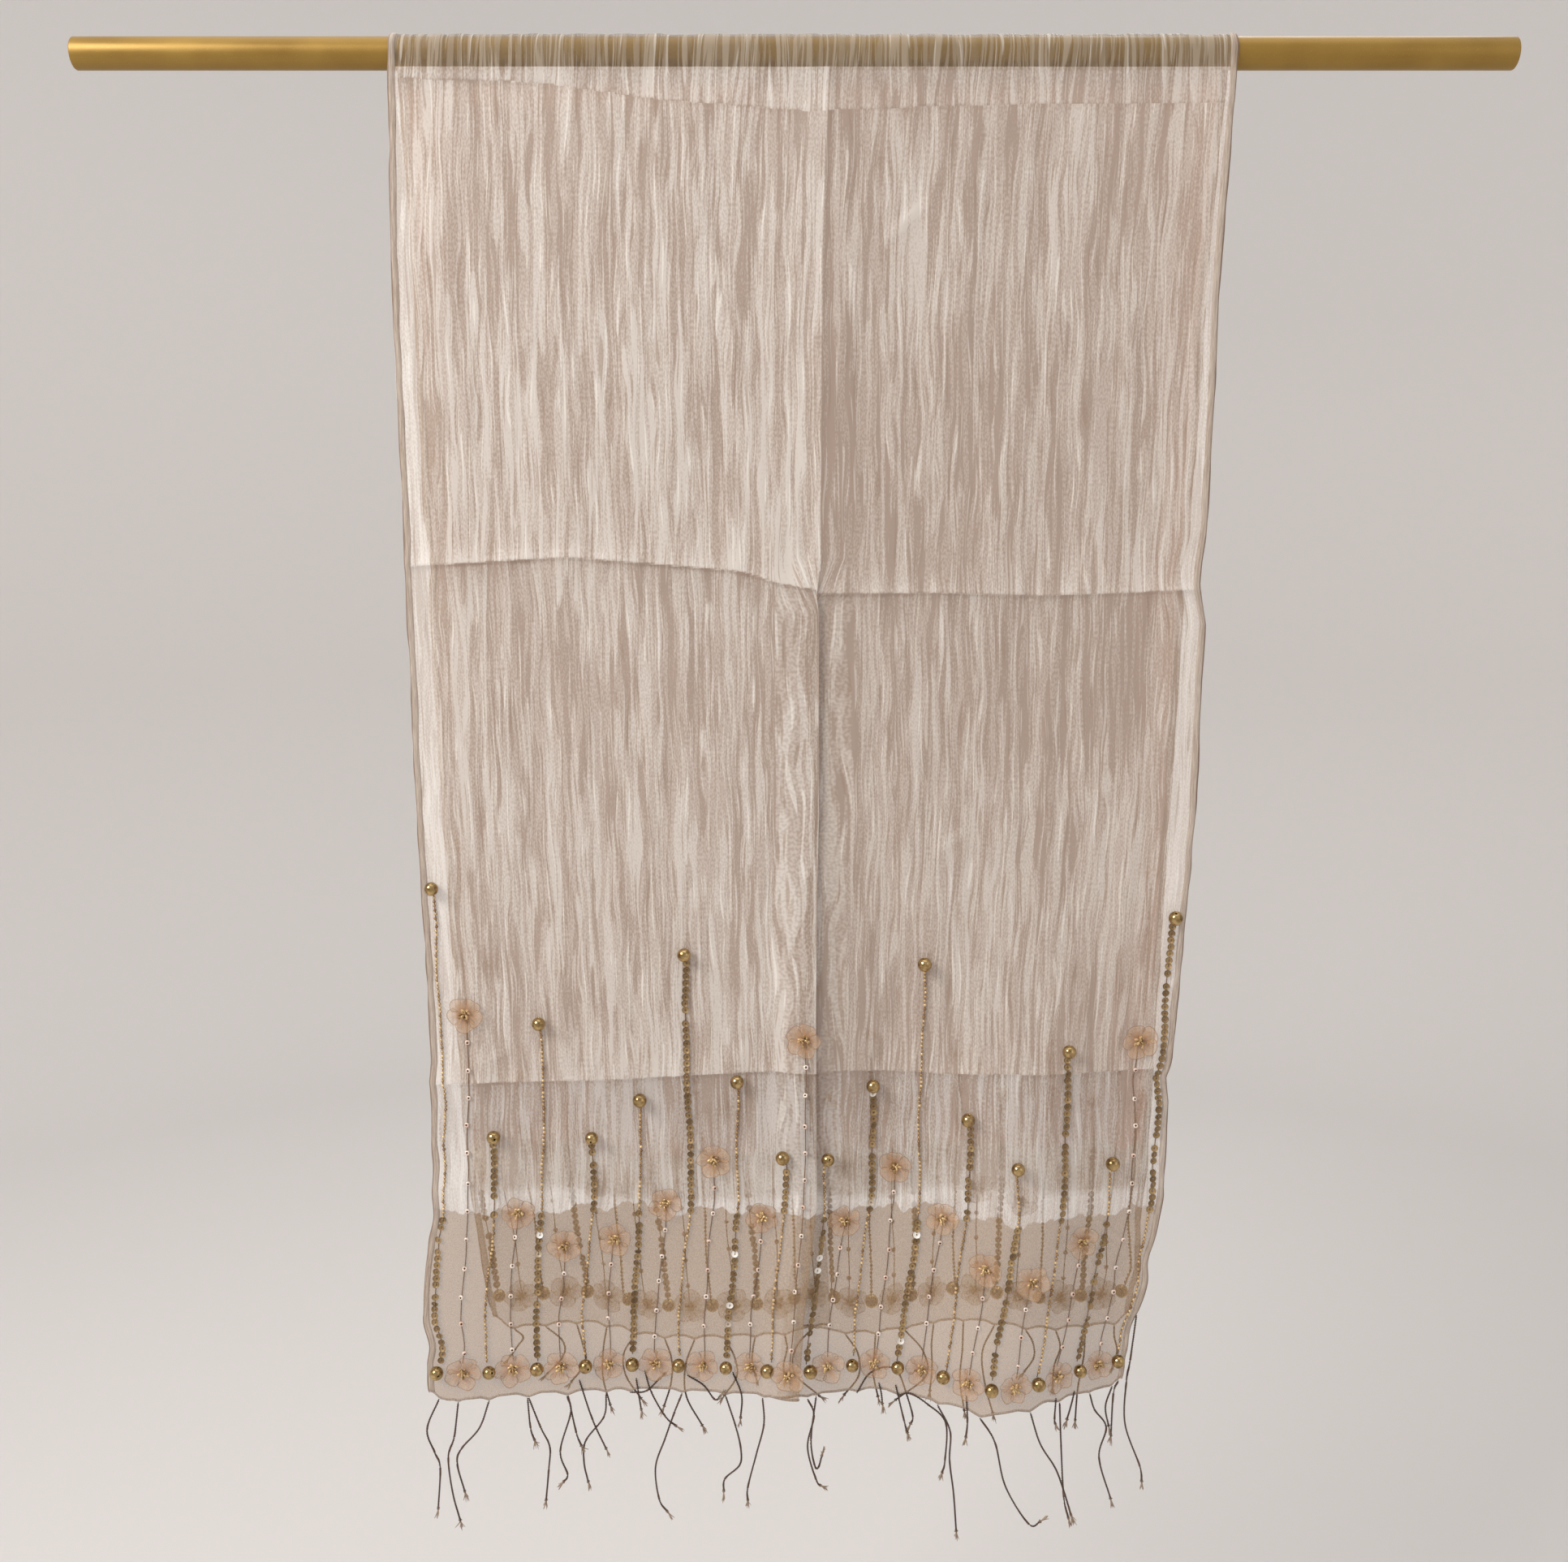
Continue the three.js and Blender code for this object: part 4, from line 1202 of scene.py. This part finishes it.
def make_beads(panel, places, material, rng, nodes):
    """Gold beads strung on end, a few of them turned so that the hole shows."""
    origins, axes = seats_of(panel, places, BEAD_LIFT)
    count = len(origins)
    stand = np.where(rng.random(count) < BEADS_TURNED, rng.uniform(-0.5, 0.3, count), math.pi / 2)
    axes = turned(axes, 0, stand + rng.normal(0, 0.2, count))
    axes = turned(axes, 1, rng.normal(0, 0.25, count))
    template = bead_template(BEAD_RADIUS, BEAD_HOLE, rings=15, segments=22)
    points, faces = copies(template, origins, axes, rng.uniform(0.95, 1.04, count))
    return make_piece(f"{panel.name}_beads", points, faces, material, nodes)


def make_stem_threads(panel, rows, material):
    """Fine thread under each stem."""
    parts = []
    for number, at, top, bottom in rows:
        drop = np.arange(top, bottom, STEM_THREAD_STEP)
        lift = np.full_like(drop, STEM_THREAD_LIFT)
        path, _ = seat(at + wander(number, drop), along_of(panel, drop), lift)
        parts.append(tube(path, STEM_THREAD_RADIUS, STEM_THREAD_RADIUS, sides=5))
    points, faces = joined(parts)
    return make_piece(f"{panel.name}_stem_threads", points, faces, material)


def petal_shape(rng):
    """One soft petal of unit radius in a wedge about +Y: points, and how far out and aside each is."""
    reach, side = (part.ravel() for part in np.meshgrid(
        np.linspace(0.1, 1, PETAL_REACH_STEPS), np.linspace(-1, 1, PETAL_ACROSS_STEPS), indexing="ij"))
    outline = (1 - 0.26 * np.abs(side) ** 2.4) * (1 + 0.04 * np.sin(side * 5 + rng.uniform(0, 6)))
    angle = side * PETAL_HALF_ANGLE * (0.55 + 0.45 * np.sqrt(reach))
    radius = reach * outline
    lift = 0.10 + 0.16 * reach ** 1.5 - 0.09 * side ** 2 * reach
    lift += 0.05 * np.sin(side * rng.uniform(4, 7) + rng.uniform(0, 6)) * reach ** 2
    return np.stack([radius * np.sin(angle), radius * np.cos(angle), lift], -1), reach, side


def make_flowers(panel, places, material, rng, nodes):
    """Five-petalled organza flowers, every petal with its own curl."""
    parts = []
    values = {"reach": [], "around": [], "tone": []}
    quads = grid_faces(PETAL_REACH_STEPS, PETAL_ACROSS_STEPS)
    for origin, axes in zip(*seats_of(panel, places, FLOWER_LIFT)):
        turn = rng.uniform(0, FULL_TURN)
        radius = FLOWER_RADIUS * rng.uniform(0.94, 1.05)
        tone = rng.random()
        for petal in range(PETALS):
            shape, reach, side = petal_shape(rng)
            angle = turn + petal * FULL_TURN / PETALS + rng.normal(0, 0.07)
            own_axes = turned(axes[None], 2, np.array([angle]))[0]
            shape[:, 2] += 0.035 * (petal % 2)
            parts.append((origin + radius * rng.uniform(0.93, 1.05) * shape @ own_axes, quads))
            values["reach"].append(reach)
            values["around"].append(side + petal * PETAL_STEP)
            values["tone"].append(np.full(len(shape), tone))
    points, faces = joined(parts)
    values = {key: np.concatenate(numbers) for key, numbers in values.items()}
    return make_piece(f"{panel.name}_flowers", points, faces, material, nodes, values=values)


def make_hearts(panel, places, material, rng):
    """A ring of short bugle beads, some nearer the middle, at the heart of each flower."""
    bugle_origins, bugle_axes = [], []
    for origin, axes in zip(*seats_of(panel, places, HEART_LIFT)):
        turn = rng.uniform(0, 6.3)
        for index in range(BUGLES):
            angle = turn + index * FULL_TURN / BUGLES + rng.normal(0, 0.2)
            spread = BUGLE_RING if index % 3 else BUGLE_INNER_RING
            outward = math.cos(angle) * axes[0] + math.sin(angle) * axes[1]
            lean = unit(outward * rng.uniform(0.3, 1.0) + axes[2] * rng.uniform(0.3, 0.9)
                        + np.cross(axes[2], outward) * rng.normal(0, 0.6))
            side = unit(np.cross(lean, axes[2] + 0.01 * axes[0]))
            bugle_origins.append(origin + outward * spread + axes[2] * rng.uniform(0, 1.4))
            bugle_axes.append(np.stack([side, np.cross(lean, side), lean]))
    template = lathe(BUGLE, BUGLE_SEGMENTS, closed=True)
    count = len(bugle_origins)
    sizes = rng.uniform(1.0, 1.35, count)
    points, faces = copies(template, np.array(bugle_origins), np.array(bugle_axes), sizes)
    tone = np.repeat(rng.random(count) ** 0.9, len(template[0]))
    return make_piece(f"{panel.name}_flower_hearts", points, faces, material,
                      values={"tone": tone})


# Loose threads

def hem_places(starts, along):
    """Places across the cloth of points on an end hem that are given by x."""
    at = np.linspace(-HALF_WIDTH, HALF_WIDTH, HEM_SAMPLES)
    x = strip_point(at, np.full(HEM_SAMPLES, along), pleated=False)[:, 0]
    return np.interp(starts, x, at)


def front_routes():
    """Paths of the front hem's threads: from the cloth near the hem, then hanging free."""
    places = hem_places([row[0] for row in FRONT_THREADS], 0.0)
    for index, (at, (_, above, steps)) in enumerate(zip(places, FRONT_THREADS)):
        (start,), _ = seat([at], [above], [FRONT_THREAD_LIFT])
        points = [start]
        for number, (sideways, down) in enumerate(steps):
            sway = 2.2 * math.sin(index * 2.1 + number * 1.3)
            points.append(start + np.array([sideways, -1.5 + sway * down / 60, -down]))
        yield points


def back_routes(rng):
    """Paths of the back hem's threads, hanging with a bend or two."""
    for at in hem_places(BACK_STARTS, STRIP):
        (start,), _ = seat([at], [STRIP], [BACK_THREAD_LIFT])
        length = rng.uniform(*BACK_THREAD_LENGTHS)
        bow = rng.normal(0, 9)
        points = [start]
        for share in (0.3, 0.65, 1.0):
            sideways = bow * math.sin(share * 3.4) + rng.normal(0, 3) * share
            points.append(start + np.array([sideways, rng.normal(0, 1.5) * share, -length * share]))
        yield points


def make_fringe(name, routes, material, rng, nodes):
    """Twisted threads, each with a small knot and an open tuft at its tip."""
    parts, tips = [], []
    for corners in routes:
        path = spline(corners, THREAD_STEP)
        size = np.ones(len(path))
        size[:2] = 0.7
        size[-len(KNOT_SIZES):] = KNOT_SIZES
        tip = smooth((np.arange(-1, len(path) + 1) - len(path) + 6) / 6)
        parts.append(tube(path, *THREAD_HALF_WIDTHS, THREAD_SIDES, THREAD_TWIST, size))
        tips.append(np.repeat(tip, THREAD_SIDES))
        ahead = unit(path[-1] - path[-4])
        share = np.linspace(0, 1, len(TUFT_SIZES))[:, None]
        for _ in range(TUFT_FIBRES):
            lean = unit(ahead + rng.normal(0, 0.17, 3))
            length = rng.uniform(*TUFT_LENGTHS)
            bend = rng.normal(0, 0.7, 3)
            fibre = path[-1] + lean * length * share + bend * share ** 2
            parts.append(tube(fibre, TUFT_RADIUS, TUFT_RADIUS, sides=4, taper=TUFT_SIZES))
            tips.append(np.ones(len(parts[-1][0])))
    points, faces = joined(parts)
    return make_piece(name, points, faces, material, nodes, values={"tip": np.concatenate(tips)})


# Making of the part

def make_beadwork(panel, materials, rng, bead_nodes, flower_nodes):
    """All that is sewn on one end."""
    found = runs(panel, rng)
    sequin = lathe(SEQUIN, SMALL_SEGMENTS, closed=False)
    square = squared(lathe(SQUARE, SMALL_SEGMENTS, closed=True))
    seed = bead_template(SEED_RADIUS, SEED_HOLE, rings=6, segments=7)
    made = [make_beads(panel, found.beads, materials.bead, rng, bead_nodes)]
    for name, template, places, lift, tilt, material in (
        ("sequins", sequin, found.sequins, 0.9, 0.16, materials.sequin),
        ("seed_chains", seed, found.seeds, 1.3, 0.5, materials.seed),
        ("square_beads", square, found.squares, 0.7, 0.3, materials.square),
    ):
        made.append(make_small(panel, name, template, places, lift, tilt, material, rng))
    made.append(make_stem_threads(panel, found.threads, materials.thread))
    made.append(make_flowers(panel, found.flowers, materials.petal, rng, flower_nodes))
    made.append(make_hearts(panel, found.flowers, materials.seed, rng))
    return made


def make_part():
    """The rail, the cloth on it and all that is sewn to the cloth."""
    front_beads, front_flowers, back_stems = (
        [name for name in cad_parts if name.startswith(start)]
        for start in ("front_bead_stem", "front_flower_stem", "back_stems")
    )
    materials = SimpleNamespace(
        bead=bead_gold(), sequin=sequin_gold(), seed=seed_gold(), square=pale_glass(),
        thread=stem_thread(), petal=petal_organza(),
    )
    rail = make_rail()
    cloth = make_cloth()
    trims = make_hems(hem_cloth())
    trims += make_beadwork(FRONT, materials, np.random.default_rng(21), front_beads, front_flowers)
    trims += make_beadwork(BACK, materials, np.random.default_rng(22), back_stems, ())
    dark = hem_thread()
    rng = np.random.default_rng(23)
    trims.append(make_fringe("front_hem_threads", list(front_routes()), dark, rng, ["fringe_front"]))
    trims.append(make_fringe("back_hem_threads", list(back_routes(rng)), dark, rng, ["fringe_back"]))
    STRIP * MM


# Studio; lights and camera are in metres

FLOOR_BELOW = 1620
FLOOR_REACH = 2500
COVE_RADIUS = 900
WALL_TOP = 1750
STAGE_COLOUR = (0.735, 0.71, 0.695)
Softbox = namedtuple("Softbox", "name place aim size power colour")
SOFTBOXES = [
    Softbox("key_softbox", (-1.95, -1.5, 1.1), (0, 0, -0.5), (1.4, 1.2), 62, (1.0, 0.975, 0.95)),
    Softbox("fill_softbox", (1.8, -1.6, 0.2), (0, 0, -0.6), (1.2, 1.6), 3, (1.0, 0.95, 0.93)),
    Softbox("back_softbox", (0.9, 1.9, 1.5), (0, 0, -0.6), (1.2, 1.2), 12, (1.0, 0.98, 0.96)),
    Softbox("top_softbox", (0, 0.2, 2.0), (0, 0.2, 0), (2.6, 2.6), 20, (1.0, 0.98, 0.97)),
]
WORLD_COLOUR, WORLD_STRENGTH = (1.0, 0.985, 0.97, 1), 0.62
CAMERA_PLACE = (-0.0074, -1.1727, -0.3336)
CAMERA_DOWN = 9
LENS = 36
SENSOR = 36


def make_stage():
    """Pale floor that curves up into a round wall on every side."""
    profile = [(1, -FLOOR_BELOW), (FLOOR_REACH / 2, -FLOOR_BELOW)]
    for angle in np.linspace(0, math.pi / 2, 13):
        rise = COVE_RADIUS * (1 - math.cos(angle))
        profile.append((FLOOR_REACH + COVE_RADIUS * math.sin(angle), rise - FLOOR_BELOW))
    profile.append((FLOOR_REACH + COVE_RADIUS, WALL_TOP))
    points, faces = lathe(profile, ROUND_SEGMENTS, closed=False)
    material = Paint("pale_stage").set(Base_Color=STAGE_COLOUR, Roughness=1.0, Specular_IOR_Level=0.0)
    stage = make_mesh("studio_floor", points, faces, material)


def add_light(row):
    light = bpy.data.lights.new(row.name, "AREA")
    light.shape = "RECTANGLE"
    light.size, light.size_y = row.size
    light.energy = row.power
    light.color = row.colour
    lamp = bpy.data.objects.new(row.name, light)
    lamp.location = row.place
    away = np.array(row.place) - np.array(row.aim)
    lamp.rotation_euler = (math.atan2(math.hypot(away[0], away[1]), away[2]), 0,
                           math.atan2(away[1], away[0]) + math.pi / 2)
    bpy.context.scene.collection.objects.link(lamp)


def make_light():
    for row in SOFTBOXES:
        add_light(row)
    world = bpy.data.worlds.new("studio_world")
    world.use_nodes = True
    background = world.node_tree.nodes["Background"]
    background.inputs["Color"].default_value = WORLD_COLOUR
    background.inputs["Strength"].default_value = WORLD_STRENGTH
    bpy.context.scene.world = world


def make_camera():
    camera = bpy.data.cameras.new("camera")
    camera.lens = LENS
    camera.sensor_width = SENSOR
    camera.sensor_fit = "HORIZONTAL"
    camera.clip_start = 0.01
    holder = bpy.data.objects.new("camera", camera)
    holder.location = CAMERA_PLACE
    holder.rotation_euler = (math.radians(90 - CAMERA_DOWN), 0, 0)
    bpy.context.scene.collection.objects.link(holder)
    bpy.context.scene.camera = holder


def set_render():
    """Plain colours, and few bounces except through the layers of sheer cloth."""
    scene = bpy.context.scene
    scene.view_settings.view_transform = "Standard"
    scene.cycles.transparent_max_bounces = 16
    scene.cycles.max_bounces = 4
    scene.cycles.diffuse_bounces = 2
    scene.cycles.glossy_bounces = 2


make_camera()
make_stage()
make_light()
make_part()
set_render()
